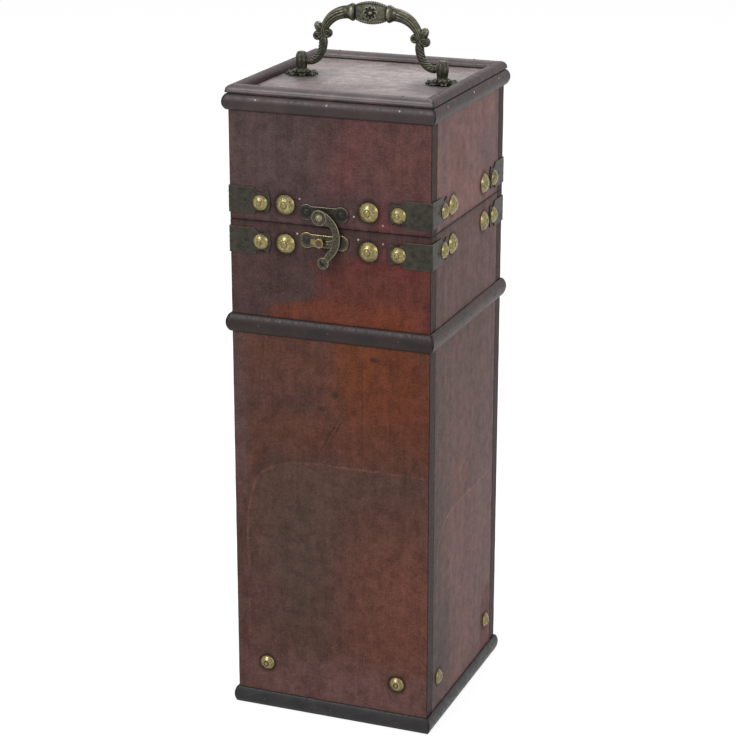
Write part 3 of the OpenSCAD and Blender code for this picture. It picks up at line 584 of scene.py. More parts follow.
# The side boards' colours, their clouds' too, are lifted by a painted sheen: a pale veil added to
# the wood's own colour, in place of the sheen that their low shine leaves out.
box_side_wood_with_painted_sheen = wood(
    "box_side_wood_with_painted_sheen", (93, 74, 71), (106, 81, 77), (112, 82, 75), UPRIGHT_PLAIN, 16.0, depth=0.26,
    shine=0.04, stains=[
        side_stain(0, 240, 60, 30, (98, 75, 70), 0.6, 0.9, 0.6),
        side_stain(14, 196, 26, 30, (90, 73, 68), 0.7, 1.2, 0.8),
        side_stain(20, 60, 62, 54, (114, 86, 82), 0.6, 0.05, 0.05, Square=6.0,
                   **tide_line(0.6, (165, 115, 98), (0, -0.8, 0.5))),
        side_stain(38, 110, 16, 90, (103, 84, 84), 0.5, 0.9, 0.7),
        side_stain(-56, 100, 26, 130, (80, 69, 67), 0.8, 0.5, 0.95),
        side_stain(-40, 38, 20, 24, (78, 68, 66), 0.85, 1.0, 0.7),
        side_stain(46, 22, 16, 24, (98, 62, 60), 0.9, 0.5, 0.15),
        *nail_rings(RIGHT, 0, split_z)])
box_back_wood = wood(
    "box_back_wood", *box_tones, board_edge=half_w, shine=board_shine, stains=[
        front_stain(-10, 170, 46, 60, (79, 60, 54), 0.7, 0.9, 0.6),
        front_stain(20, 60, 60, 45, (76, 56, 51), 0.7, 0.1, 0.05,
                    **tide_line(0.5, (127, 83, 72), (0.5, 0, 0.6))),
        *nail_rings(BACK, 0, split_z)])
lid_front_wood = wood(
    "lid_front_wood", *lid_tones, board_edge=half_w, shine=board_shine, stains=[
        front_stain(-34, 306, 26, 24, (76, 63, 62), 0.7, 0.9, 0.6),
        front_stain(32, 300, 32, 34, (93, 61, 57), 0.5, 0.9, 0.7),
        front_stain(10, 303, 7, 34, (100, 58, 57), 0.35, 1.1, 0.8, Turn=-0.35),
        front_stain(44, 300, 14, 30, (92, 60, 55), 0.5, 1.0, 0.7),
        front_stain(-8, 281, 60, 7, (67, 53, 54), 0.6, 0.8, 0.6),
        front_stain(29, 274, 4, 10, (108, 47, 50), 0.4, 0.7, 0.6),
        *nail_rings(FRONT, split_z, lid_top)])
# Its colours are lifted by a painted sheen, as on the box's sides, under a low shine.
lid_side_wood_with_painted_sheen = wood(
    "lid_side_wood_with_painted_sheen", (110, 84, 81), (123, 91, 87), (117, 81, 77), UPRIGHT_PLAIN, 20.0, depth=0.26,
    shine=0.05, stains=[
        side_stain(-18, 297, 10, 14, (107, 75, 71), 0.6, 1.0, 0.7),
        side_stain(30, 292, 10, 17, (93, 77, 74), 0.6, 1.0, 0.7),
        side_stain(50, 300, 8, 50, (87, 74, 74), 0.7, 0.6, 0.6),
        side_stain(-38, 300, 6, 50, (102, 81, 78), 0.6, 0.6, 0.6),
        *nail_rings(RIGHT, split_z, lid_top)])
lid_back_wood = wood(
    "lid_back_wood", *lid_tones, board_edge=half_w, shine=board_shine,
    stains=nail_rings(BACK, split_z, lid_top))
box_woods = (box_front_wood, box_side_wood_with_painted_sheen, box_back_wood, box_side_wood_with_painted_sheen)
lid_woods = (lid_front_wood, lid_side_wood_with_painted_sheen, lid_back_wood, lid_side_wood_with_painted_sheen)
for side, side_name in enumerate(SIDE_NAMES):
    add_piece("stained_box_" + side_name, [board(side, 0, split_z, side)],
              box_woods[side], "box", "box_board", "box_" + side_name)
    add_piece("stained_lid_" + side_name, [board(side, split_z, lid_top, side + 4)],
              lid_woods[side], "lid", "lid_board", "lid_" + side_name)

# ---- Top and bottom boards ----------------------------------------------------------------
# The top board lies on the four walls, with its grain along the front, and carries the handle.
# The bottom board lies between the walls.
# Clouds on the top board. Most of them are painted light (a pale painted sheen, painted dark
# reflections and painted shade round the rosettes), and one is a stain.
top_stains_and_painted_light = [
    # a pale painted sheen across the middle of the board
    stain((5, 8, 334), (42, 20, 30), (152, 142, 139), 0.5, 0.8, 0.8),
    # a painted dark reflection at the front left
    stain((-32, -36, 334), (34, 15, 30), (92, 73, 76), 0.75, 0.6, 0.8),
    # a maroon stain along the front edge
    stain((4, -43, 334), (46, 5, 30), (112, 80, 84), 0.6, 0.5, 0.8),
    # painted shade round the left and the right rosette
    stain((-38.5, -2, 334), (16, 15, 30), (60, 50, 50), 0.85, 0.4, 0.55),
    stain((38.5, -4, 334), (16, 17, 30), (60, 50, 50), 0.85, 0.4, 0.55),
    # a painted dark reflection of the right post
    stain((34, -26, 334), (7, 14, 30), (96, 80, 82), 0.6, 0.5, 0.9)]
top_wood = wood("top_wood", (98, 82, 80), (128, 114, 112), (138, 124, 122), LEVEL_X, 24.0,
                top_stains_and_painted_light, depth=0.5, shine=0.9)
bottom_wood = wood("bottom_wood", (62, 47, 40), (74, 56, 47), (82, 61, 49), LEVEL_Y, 24.0)


def dress(node, material):
    """Gives a CAD node that keeps its own shape a material."""
    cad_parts[node].data.materials.clear()
    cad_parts[node].data.materials.append(material)


dress("top_board", top_wood)
dress("bottom_board", bottom_wood)
top_z = box_of("top_board")[1][2]

# ---- Mouldings ----------------------------------------------------------------------------
# Half-round strips along the floor, round the box below the lid and under the rim, and
# round-topped strips on the edge of the top. They are mitred and glued, and stained nearly black.


def strip(side, outs, heights, seed):
    """A mitred moulding: a closed profile, out from the wall and up, carried along the wall. The
    further out a point lies, the further along it reaches, so the ends are cut at 45 degrees.
    The face is uneven by a twentieth of a millimetre or so, as planed by hand."""
    share = np.linspace(-1, 1, 90)[:, None]
    long = share * (wall_half(side) + outs[None])
    uneven = 0.06 * wobble(long, seed, 23) + 0.03 * wobble(long, seed + 1, 6)
    middle_out, middle_up = outs.mean(), heights.mean()
    scale = 1 - (0.02 + np.abs(uneven)) / 4
    grid = on_wall(side, long, middle_out + (outs - middle_out) * scale,
                   middle_up + (heights - middle_up) * scale)
    ends = np.exp(-(1 - np.abs(share)) * wall_half(side) / 1.2) + 0 * outs
    return shell(grid, 0, np.clip(ends * 0.8, 0, 1))


def round_profile(depth, height, edge, base_z, corner=0.35):
    """Profile of a strip with a round face: a circle's arc between two square edges of thickness
    edge, whose corners are rounded off. Gives out and up, starting at the wall's lower corner."""
    rise = depth - edge
    radius = (height ** 2 / 4 + rise ** 2) / (2 * rise)
    reach = math.asin(height / 2 / radius)
    sweep = np.linspace(-reach, reach, 22)[1:-1]
    arc = np.stack([depth - radius + radius * np.cos(sweep), height / 2 + radius * np.sin(sweep)])
    turn = np.linspace(-np.pi / 2, -0.6, 4)
    lower = np.stack([edge - corner + corner * np.cos(turn), corner + corner * np.sin(turn)])
    upper = np.stack([lower[0][::-1], height - lower[1][::-1]])
    wall_line = np.stack([np.zeros(6), np.linspace(height, 0, 6)])
    outs, ups = np.concatenate([lower, arc, upper, wall_line], axis=1)
    return outs, ups + base_z


def moulding_wood(name, dark, mid, warm, edge, shine, grain=LEVEL_X, depth=0.16):
    """Near-black stain in small clouds, with fine grain along the strip."""
    return wood(name, dark, mid, warm, grain, 40.0, depth=depth, shine=shine, edge=edge)


brow_wood = moulding_wood("brow_wood", (38, 26, 25), (51, 34, 33), (66, 46, 44), (74, 60, 56), 0.4)
band_wood = moulding_wood("band_wood", (29, 19, 16), (38, 25, 22), (48, 32, 29), (70, 54, 50), 0.3)
strip_wood_y = moulding_wood("strip_wood_y", (37, 23, 22), (50, 31, 29), (62, 39, 37),
                             (74, 56, 52), 0.3, LEVEL_Y)
# The front and back rims are lighter than the side rims: partly their own purple-brown, partly a
# painted highlight along their tops.
rim_wood_with_painted_highlight = moulding_wood("rim_wood_with_painted_highlight", (50, 37, 38), (66, 50, 51), (82, 62, 62), (88, 73, 71), 0.9,
                         depth=0.2)
base_wood = moulding_wood("base_wood", (34, 32, 33), (43, 41, 42), (52, 50, 50), (70, 62, 58),
                          0.25)
strips = (("base", "box", "base_moulding", base_wood, base_wood),
          ("band", "box", "moulding", band_wood, strip_wood_y),
          ("brow", "lid", "moulding", brow_wood, strip_wood_y))
strip_edge = 0.8
for kind, body, slot, along_x, along_y in strips:
    low, high = box_of(kind + "_front")
    outs, ups = round_profile(-low[1] - half_d, high[2] - low[2], strip_edge, low[2])
    for side, side_name in enumerate(SIDE_NAMES):
        add_piece("planed_" + kind + "_" + side_name, [strip(side, outs, ups, len(kind) + side)],
                  along_y if side % 2 else along_x, body, slot, kind + "_" + side_name)

rim_low, rim_high = box_of("rim_front")
rim_out = -rim_low[1] - half_d
rim_w = rim_high[1] - rim_low[1]
rim_h = rim_high[2] - rim_low[2]
rim_edge = 1.2
rim_outs, rim_ups = round_profile(rim_h, rim_w, rim_edge, 0)
rim_outs, rim_ups = rim_out - rim_ups, top_z + rim_outs
for side, side_name in enumerate(SIDE_NAMES):
    add_piece("planed_rim_" + side_name, [strip(side, rim_outs, rim_ups, 30 + side)],
              strip_wood_y if side % 2 else rim_wood_with_painted_highlight, "lid", "moulding", "rim_" + side_name)

# ---- Corner straps ------------------------------------------------------------------------
# Thin sheet straps, blackened and bent round the corners. Each leg narrows to a neck at its
# small nail, and a crescent-shaped tail stands behind the nail. A punch mark lies in each leg.

# Patina on metal: dark in the recesses, rubbed bright on the edges, with blotches and fine specks
patina_group, paint, given = group_sockets(
    "patina", {"Vector": "Vector", "Bright": "Color", "Metal": "Color", "Dark": "Color",
               "Scale": "Float", "Blotch": "Float", "Bare": "Float", "Rough": "Float",
               "Wear": "Float"},
    {"Color": "Color", "Roughness": "Float", "Height": "Float", "Bare": "Float"})
cloud = paint.noise(given["Vector"], given["Scale"], 5.0, 0.65, 0.4)
fine = paint.noise(given["Vector"], paint.times(given["Scale"], 5.0), 4.0, 0.6)
edges = paint.step(paint.plus(given["Wear"], paint.times(fine, 0.6)), 0.55, 1.1)
hollow = paint.step(paint.plus(given["Wear"], paint.times(cloud, 0.5)), 0.1, -0.5)
spots = paint.times(paint.step(cloud, 0.5, 0.66), given["Blotch"])
tone = paint.mix(spots, given["Metal"], given["Dark"])
tone = paint.mix(paint.step(fine, 0.3, 0.7, 0.0, 0.25), tone, given["Bright"])
tone = paint.mix(hollow, tone, given["Dark"])
tone = paint.mix(edges, tone, given["Bright"])
covered = paint.math("MAXIMUM", hollow, spots)
bare = paint.times(given["Bare"], paint.minus(1.0, paint.times(covered, 0.5)))
dulled = paint.plus(given["Rough"], paint.times(covered, 0.2))
paint.put("NodeGroupOutput", {"Color": tone, "Roughness": dulled, "Height": fine, "Bare": bare})


def metal(name, bright, middle, dark, scale=160.0, blotch=0.5, bump=0.2, bare=0.6, rough=0.36,
          shine=0.5, clean_zs=None):
    """Metal with a patina that follows the wear mark of the mesh. bare says how much of it is
    clean metal, and the rest is a dull coat. On a CAD node, which has no marks, clean_zs are the
    heights between which it is clean."""
    material, paint = new_material(name)
    place = paint.put("TexCoord", out=3)
    worn = mark_of(paint, "wear")
    if clean_zs:
        height = paint.parts(place)[2]
        away = paint.math("ABSOLUTE", paint.minus(height, sum(clean_zs) / 2 * MM))
        reach = (clean_zs[1] - clean_zs[0]) / 2
        worn = paint.step(away, reach * MM, (reach + 1) * MM, 0.0, -1.5)
    found = paint.use(patina_group, {
        "Vector": place, "Bright": linear(*bright), "Metal": linear(*middle),
        "Dark": linear(*dark), "Scale": scale, "Blotch": blotch, "Bare": bare, "Rough": rough,
        "Wear": worn})
    normal = paint.put("Bump", {"Strength": bump, "Distance": 0.0002, "Height": found["Height"]})
    paint.put("OutputMaterial", {"Surface": paint.put("BsdfPrincipled", {
        "Base Color": found["Color"], "Roughness": found["Roughness"], "Metallic": found["Bare"],
        "Specular IOR Level": shine, "Normal": normal})})
    return material


strap_metal = metal("strap_metal", (100, 93, 78), (42, 39, 33), (32, 31, 27), scale=60.0,
                    blotch=0.6, bare=0.12, rough=0.42, shine=0.2)
strap_low, strap_high = box_of("lid_strap_front_right")
strap_t = strap_high[0] - half_w
strap_h = strap_high[2] - strap_low[2]
strap_l = half_w - strap_low[0]
neck_in, neck_h, neck_r, tail_r = 17.6, 8.4, 4.0, 12.5
punch_in, punch_r = 8.8, 0.7


def strap_half_height(leg):
    """Half height of a strap at a distance leg from the corner: the sheet's own half height, less
    a round hollow at the neck, and within the circle that ends the tail."""
    hollow = neck_h / 2 + neck_r - np.sqrt(np.maximum(neck_r ** 2 - (leg - neck_in) ** 2, 0))
    tail = np.sqrt(np.maximum(tail_r ** 2 - np.maximum(leg - strap_l + tail_r, 0) ** 2, 0))
    return np.minimum(np.minimum(strap_h / 2, hollow), np.maximum(tail, 0.05))


def corner_strap(side, middle_z, seed):
    """A strap at the right end of a wall: a thin bar whose half height follows the leg's outline,
    bent round the corner by a quarter circle, with two straight legs."""
    bend, dent_depth, punch_depth = 0.6, 0.1, 0.3
    leg = np.concatenate([np.linspace(-strap_l, -bend, 110), np.linspace(-bend, bend, 11)[1:-1],
                          np.linspace(bend, strap_l, 110)])
    half = strap_half_height(np.abs(leg))
    edge = np.minimum(0.18, half * 0.9)
    up, deep, rounding = section(half, strap_t / 2, edge, across=27, deep=1, corner=2)
    outside = deep > 0.2
    dent = dent_depth * np.abs(wobble(leg[:, None] + 2 * up, seed, 9)) * outside
    punched = peak(np.hypot(np.abs(leg[:, None]) - punch_in, up), 0, punch_r, 4) * outside
    dent = dent + punch_depth * punched
    deep = deep + strap_t / 2 - dent
    turn = np.clip(leg / bend, -1, 1)[:, None] * np.pi / 4 + np.pi / 4
    straight = np.sign(leg) * np.maximum(np.abs(leg) - bend, 0)
    ahead = np.minimum(straight, 0)[:, None]
    behind = np.maximum(straight, 0)[:, None]
    x = wall_half(side) - bend + (bend + deep) * np.sin(turn) + ahead
    far = half_w if side % 2 else half_d
    y = -(far - bend) - (bend + deep) * np.cos(turn) + behind
    grid = on_wall(side, x, -y - far, middle_z + up)
    return shell(grid, np.where(deep > 0.2, 0.85 * rounding, 0) - 1.3 * punched)


for body in ("lid", "box"):
    for side, corner_name in enumerate(("front_right", "back_right", "back_left", "front_left")):
        node = body + "_strap_" + corner_name
        low, high = box_of(node)
        bent = corner_strap(side, (low[2] + high[2]) / 2, side + 3)
        add_piece("bent_" + node, [bent], strap_metal, body, "strap_sheet", node)

# ---- Domed nails --------------------------------------------------------------------------
# Pressed brass nails, with a dot in the middle of the head and a groove and a low ridge round it.
# The lacquer has worn and darkened in spots, most of all along the rim and near the floor.


def dome_profile(radius, height):
    """Radius and height of a nail head from its middle to its rim: a spherical cap, with a dot in
    the middle, a groove and a low ridge round it. Also the wear of each point."""
    share = np.concatenate([[0.02], np.linspace(0.06, 0.6, 22), np.linspace(0.64, 1.0, 13)])
    ball = (radius ** 2 + height ** 2) / (2 * height)
    rise = height - ball + np.sqrt(ball ** 2 - (share * radius) ** 2)
    groove, ridge, dot = peak(share, 0.3, 0.075), peak(share, 0.46, 0.08), peak(share, 0, 0.13)
    rise = rise + height * (0.03 * ridge - 0.07 * groove - 0.02 * dot)
    wear = 0.4 * ridge - 0.55 * groove + 0.2 * dot - 0.7 * peak(1, share, 0.05)
    return share * radius, rise, wear


def nail_head(side, along, height, seat, radius, rise, seed, dull=0.0):
    """A domed head on a wall: its profile turned round, dented a little, and its back closed."""
    radii, rises, wear = [values[:, None] for values in dome_profile(radius, rise)]
    turn = once_round(40)
    dented = 0.05 * wobble(turn[None] * 2 + radii, seed, 5) * np.sin(np.pi * radii / radius)
    return shell(on_wall(side, along + radii * np.cos(turn), seat + rises + dented,
                         height + radii * np.sin(turn)), wear - dull)


nail_brass = metal("nail_brass", (236, 224, 168), (114, 100, 58), (40, 29, 10), scale=240.0,
                   blotch=0.85, bump=0.25, bare=0.75, rough=0.25)
large_h = -lid_row[0][1] - half_d
small_h = -base_row[0][1] - half_d
brim = 0.25         # the photograph's heads are this much larger in radius than their solids
nail_groups = []
for kind, spots, radius, rise, seat in (("_face_nails", large_spots, large_r, large_h, 0),
                                        ("_strap_nails", small_spots, small_r, small_h, strap_t)):
    nail_groups += [("lid" + kind, "lid", spots, lid_nail_z, radius, rise, seat, 0),
                    ("box" + kind, "box", spots, box_nail_z, radius, rise, seat, 0)]
nail_groups.append(("base_nails", "box", base_spots, base_nail_z, small_r, small_h, 0, 0.3))
for group_name, body, spots, row_z, radius, rise, seat, dull in nail_groups:
    spots = [spot for spot in spots if spot[2] == row_z]
    heads = [nail_head(*spot, seat, radius + brim, rise, seed, dull)
             for seed, spot in enumerate(spots)]
    add_piece("domed_" + group_name, heads, nail_brass, body, "nail_brass", group_name)

# ---- Brads --------------------------------------------------------------------------------
# Thin steel brads hold the mouldings and the front boards. Only their ends show: bright on the
# boards and the brow strips, and dull in the band, the base and the rim.
brad_steel = metal("brad_steel", (212, 208, 200), (158, 150, 142), (66, 58, 53), scale=26.0,
                   clean_zs=(252, 332))
dress("box_brads", brad_steel)
dress("lid_brads", brad_steel)

# ---- Back hinges --------------------------------------------------------------------------
# Two small butt hinges of blackened sheet, with rolled knuckles and drawn pins, are nailed across
# the split of the box. The photograph doesn't show the back, so they are a guess.
hinge_sheet = metal("hinge_sheet", (112, 105, 90), (58, 54, 46), (42, 40, 36), scale=80.0,
                    blotch=0.6, bare=0.4, rough=0.45)
hinge_wire = metal("hinge_wire", (150, 142, 120), (96, 90, 76), (56, 52, 44), scale=300.0,
                   blotch=0.4)
for end_name in ("right", "left"):
    dress("hinge_leaf_box_" + end_name, hinge_sheet)
    dress("hinge_leaf_lid_" + end_name, hinge_sheet)
dress("hinge_pins", hinge_wire)

# ---- Latch --------------------------------------------------------------------------------
# Two lobed plates nailed to the front. A flat swing hook turns on a rivet in the upper plate. Its
# prong enters the slotted, rolled post of the lower plate, and its tail is bent out as a grip.
latch_bronze = metal("latch_bronze", (142, 134, 112), (41, 37, 30), (19, 17, 13), scale=200.0,
                     bare=0.4, rough=0.38, shine=0.25)
catch_bronze = metal("catch_bronze", (206, 190, 132), (58, 53, 38), (28, 26, 20), scale=200.0,
                     bare=0.5)
post_brass = metal("post_brass", (214, 200, 140), (112, 97, 58), (74, 60, 32), scale=200.0,
                   blotch=0.4, bare=0.7, rough=0.34)
rivet_brass = metal("rivet_brass", (200, 192, 152), (106, 100, 74), (48, 45, 34), scale=200.0,
                    blotch=0.4, bare=0.7, rough=0.3)
sunk_nail = metal("sunk_nail", (88, 81, 68), (26, 23, 19), (14, 12, 10), scale=300.0, bare=0.3,
                  rough=0.42, shine=0.25)
plate_low, plate_high = box_of("catch_plate")
plate_t = -plate_low[1] - half_d
lobe_r = (plate_high[2] - plate_low[2]) / 2
lobe_xs = np.array([plate_low[0] + lobe_r, plate_high[0] - lobe_r])
catch_z = plate_high[2] - lobe_r
hook_plate_z = 2 * split_z - catch_z
waist_h = 6.4
plate_hub_r = 4.6
rivet_low, rivet_high = box_of("hook_rivet")
hook_x = (rivet_low[0] + rivet_high[0]) / 2
pivot_z = (rivet_low[2] + rivet_high[2]) / 2
rivet_r = (rivet_high[0] - rivet_low[0]) / 2
plate_nail_r = 1.7
hub_r, eye_r = 4.0, 3.0


def lobed_plate(middle_z, hub=None):
    """A plate along the front: its upper edge is the highest, and its lower edge the lowest, of
    two round ends, a straight waist and, if given, a round hub (middle, height, radius)."""
    rounds = [(x, middle_z, lobe_r) for x in lobe_xs] + ([hub] if hub else [])
    ends = lobe_xs + np.array([-lobe_r, lobe_r])
    x = ends.mean() - (ends[1] - ends[0]) / 2 * np.cos(np.linspace(0.03, np.pi - 0.03, 150))
    between = np.abs(x - lobe_xs.mean()) < np.ptp(lobe_xs) / 2
    top = np.where(between, middle_z + waist_h / 2, -np.inf)
    bottom = np.where(between, middle_z - waist_h / 2, np.inf)
    for middle, height, radius in rounds:
        half = np.sqrt(np.maximum(radius ** 2 - (x - middle) ** 2, 0))
        reached = np.abs(x - middle) < radius
        top = np.where(reached, np.maximum(top, height + half), top)
        bottom = np.where(reached, np.minimum(bottom, height - half), bottom)
    half = (top - bottom) / 2
    edge = np.minimum(0.32, half * 0.8)
    up, deep, rounding = section(half, plate_t / 2, edge, across=23, deep=1)
    height = up + ((top + bottom) / 2)[:, None]
    wear = np.where(deep > 0, 1.6 * rounding - 0.5, -0.5)
    for nail_x in lobe_xs:
        away = np.hypot(x[:, None] - nail_x, height - middle_z)
        wear = wear - 1.2 * peak(away, plate_nail_r, 0.5) * (deep > 0)
    return shell(on_wall(FRONT, x[:, None] + 0 * up, deep + plate_t / 2, height), wear)


def disc(x, z, radius, low, high, edge=0.35, dish=0.0, dish_r=1.0):
    """A round piece on the front, from low to high out of the wood: its profile, with rounded
    edges and a bowl of depth dish pressed into its face, is turned round its axis."""
    turn = np.linspace(0, np.pi / 2, 5)
    flat = np.linspace(0.03, radius - edge, 14)
    bowl = dish * peak(flat, 0, dish_r, 4)
    rim = np.stack([radius - edge + edge * np.cos(turn), high - edge + edge * np.sin(turn)])
    radii = np.concatenate([flat, rim[0][::-1], rim[0], flat[::-1]])
    outs = np.concatenate([0 * flat + low, low + high - rim[1][::-1], rim[1], (high - bowl)[::-1]])
    bowl_wear = -1.2 * bowl / max(dish, 0.1)
    wear = np.concatenate([0 * flat, 0 * turn, 1 - np.abs(turn - 0.8), bowl_wear[::-1]])
    angle = once_round(48)
    return shell(on_wall(FRONT, x + radii[:, None] * np.cos(angle), outs[:, None],
                         z + radii[:, None] * np.sin(angle)), wear[:, None])


add_piece("bevelled_hook_plate", [lobed_plate(hook_plate_z, (hook_x, pivot_z, plate_hub_r))],
          latch_bronze, "lid", "latch_metal", "hook_plate")
add_piece("bevelled_catch_plate", [lobed_plate(catch_z)], catch_bronze, "box", "latch_metal",
          "catch_plate")

post_low, post_high = box_of("catch_post")
post_r = (post_high[2] - post_low[2]) / 2
post_z = (post_high[2] + post_low[2]) / 2
post_out = -post_low[1] - half_d
post_wall = 0.7
head_t = 0.18
roll_l = post_out - plate_t - head_t + 0.05
slot_half = 1.5


def rolled_post():
    """A strip of sheet rolled round under the dished head of the post, from one lip of the slot to
    the other: a rectangular section carried along the arc, whose ends keep the same height above
    and below the slot's middle at every radius."""
    lip = math.asin(slot_half / post_r)
    turn, drawn_in = rounded_ends(lip - np.pi, np.pi - lip, 0.12, 40)
    radial, deep, rounding = section(post_wall / 2 - drawn_in, roll_l / 2 - drawn_in,
                                     0.2 - 0.8 * drawn_in, across=3, deep=7)
    radius = post_r - post_wall / 2 + radial
    angle = np.pi + turn[:, None] / (np.pi - lip) * (np.pi - np.arcsin(slot_half / radius))
    x = hook_x + radius * np.cos(angle)
    z = post_z + radius * np.sin(angle)
    return shell(on_wall(FRONT, x, plate_t + roll_l / 2 + deep, z), 0.4 - 0.8 * (radial < 0))


def gusset():
    """The ramp that stiffens the post: a bar whose height out of the plate grows towards it."""
    x, drawn_in = rounded_ends(lobe_xs[0] + 2.1, hook_x - post_r + 0.4, 0.25, 12)
    share = (x - x[0]) / np.ptp(x)
    rise = 0.25 + 0.75 * (post_out - plate_t) * share
    up, deep, rounding = section(1.2 + 0.5 * share - drawn_in, rise / 2, 0.12, across=5, deep=2)
    out = plate_t + deep + (rise / 2)[:, None]
    return shell(on_wall(FRONT, x[:, None] + 0 * up, out, post_z + up), rounding * (deep > 0))


add_piece("rolled_catch_post", [
    rolled_post(), gusset(),
    disc(hook_x, post_z, post_r, post_out - head_t, post_out, 0.09, 0.1, 1.75)],
    post_brass, "box", "latch_metal", "catch_post")

hook_low, hook_high = box_of("latch_hook")
band_in = 1.7       # how far the hook's back stands out of the wood
hook_t = 1.6
hub_boss = 0.5
hook_band = 3.6
tail_lift = -hook_low[1] - half_d - hook_t - band_in
bow_x, bow_z = hook_x - 3.4, pivot_z - 10.0
bow_out_r = hook_high[0] - bow_x
bow_mid_r = bow_out_r - hook_band / 2
rivet_seat = -rivet_low[1] - half_d - 1.1


def smooth(value):
    """Smooth step from 0 to 1 as value goes from 0 to 1."""
    value = np.clip(value, 0, 1)
    return value * value * (3 - 2 * value)


bow_start, bow_stop = math.radians(75), math.radians(-38)
flare_stop, flare_span = bow_stop + 1.35 - math.radians(14), 0.75
tail_l = 5.85


def hook_bow():
    """The bow of the hook: a flat bar carried along an arc, as wide as the hub at its start. It
    narrows, and its straight tail is bent away from the wall."""
    angle = np.concatenate([np.linspace(bow_start, bow_stop, 110), np.full(36, bow_stop)])
    slide = np.concatenate([np.zeros(110), np.linspace(0, tail_l, 37)[1:]])
    run = (bow_start - angle) * bow_mid_r + slide
    lift = tail_lift * smooth((run - run[-1] + tail_l + 2.4) / 3.3)
    flare = smooth((angle - flare_stop) / flare_span)
    half = hook_band / 2 + (hub_r - hook_band / 2) * flare
    half = half - 0.25 * smooth((run - run[-1] + tail_l) / tail_l)
    across, deep, rounding = section(half, hook_t / 2, 0.38, across=7, deep=3)
    radius = (bow_out_r - half)[:, None] + across
    slide = slide[:, None]
    x = bow_x + radius * np.cos(angle)[:, None] + slide * np.sin(angle)[:, None]
    z = bow_z + radius * np.sin(angle)[:, None] - slide * np.cos(angle)[:, None]
    out = band_in + hook_t / 2 + deep + lift[:, None]
    return shell(on_wall(FRONT, x, out, z), np.where(deep > 0, rounding, 0))


def hook_prong():
    """The prong: a flat bar whose half height and middle rise with the square of the way to the
    bow, so that its upper edge flares."""
    tip, root = hook_x + post_r + 1.3, bow_x + bow_mid_r
    x, drawn_in = rounded_ends(tip, root, 0.3, 16)
    share = (x - x[0]) / np.ptp(x)
    half = 0.95 + 1.5 * share ** 2
    thick = hook_t / 2 - 0.03 - drawn_in
    up, deep, rounding = section(half - drawn_in, thick, 0.3 - 0.7 * drawn_in, across=9)
    middle = post_z + 0.5 + 1.2 * share[:, None] ** 2
    return shell(on_wall(FRONT, x[:, None] + 0 * up, band_in + hook_t / 2 + deep, middle + up),
                 np.where(deep > 0, 0.25 + rounding, 0) * (1 - 0.8 * share[:, None] ** 2))


eye_x = bow_x + bow_mid_r * math.cos(bow_stop) + tail_l * math.sin(bow_stop)
eye_z = bow_z + bow_mid_r * math.sin(bow_stop) - tail_l * math.cos(bow_stop)
tail_in = band_in + tail_lift
add_piece("forged_latch_hook", [
    disc(hook_x, pivot_z, hub_r, band_in - hub_boss, band_in + hook_t + 0.1, 0.4),
    hook_bow(), hook_prong(),
    disc(eye_x, eye_z, eye_r, tail_in - 0.05, tail_in + hook_t + 0.1, 0.45, 0.6, 1.7)],
    latch_bronze, "latch_hook", "latch_metal", "latch_hook")
add_piece("set_hook_rivet", [nail_head(FRONT, hook_x, pivot_z, rivet_seat, rivet_r, 1.1, 70)],
          rivet_brass, "lid", "latch_metal", "hook_rivet")
dress("lid_plate_nails", sunk_nail)
dress("box_plate_nails", sunk_nail)

# ---- Handle posts and rosettes ------------------------------------------------------------
# Cast bronze with a dark patina. Each post is a ribbed bud with a ring of beads at its foot, on a
# pierced rosette of curled leaves. A screw from inside the lid holds both.
handle_bronze = metal("handle_bronze", (126, 125, 102), (50, 50, 41), (13, 13, 11), scale=120.0,
                      blotch=0.4, bump=0.15, rough=0.33)
stand_low, stand_high = box_of("handle_post_right")
post_x = (stand_low[0] + stand_high[0]) / 2
handle_y = (stand_low[1] + stand_high[1]) / 2
rosette_t = box_of("handle_rosette_right")[1][2] - top_z


def curve(points, count):
    """Smooth curve through points: between two of them, the cubic whose slope at each is half the
    step from the point before it to the point after it."""
    points = np.array(points, dtype=float)
    line = np.concatenate([2 * points[:1] - points[1:2], points, 2 * points[-1:] - points[-2:-1]])
    place = np.linspace(0, len(points) - 1, count)
    stretch = np.minimum(place.astype(int), len(points) - 2)
    share = (place - stretch)[:, None]
    before, start, end, after = (line[stretch + step] for step in range(4))
    return 0.5 * (2 * start + (end - before) * share
                  + (2 * before - 5 * start + 4 * end - after) * share ** 2
                  + (3 * start - before - 3 * end + after) * share ** 3)


def bud(x):
    """A post: a profile turned round the upright axis, whose radius falls to a groove between
    eight ribs. The ribs fade out towards the foot and the top."""
    profile = curve([(3.3, 0.0), (3.0, 0.6), (2.85, 1.4), (3.1, 3.2), (3.38, 5.6), (3.2, 7.6),
                     (2.75, 9.2), (2.0, 10.1), (1.0, 10.38), (0.05, 10.3)], 70)
    profile[:, 0] = np.maximum(profile[:, 0], 0.03)
    height = profile[:, 1]
    fade = smooth((height - 0.9) / 1.2) * smooth((10.5 - height) / 0.9)
    angle = once_round(128)
    rib = np.abs(np.cos(4 * angle)) ** 0.6
    radius = profile[:, :1] * (1 - 0.17 * fade[:, None] * (1 - rib))
    grid = np.stack([x + radius * np.cos(angle), handle_y + radius * np.sin(angle),
                     top_z + rosette_t + height[:, None] + 0 * angle], axis=-1)
    return shell(grid, fade[:, None] * (1.3 * rib - 0.9))


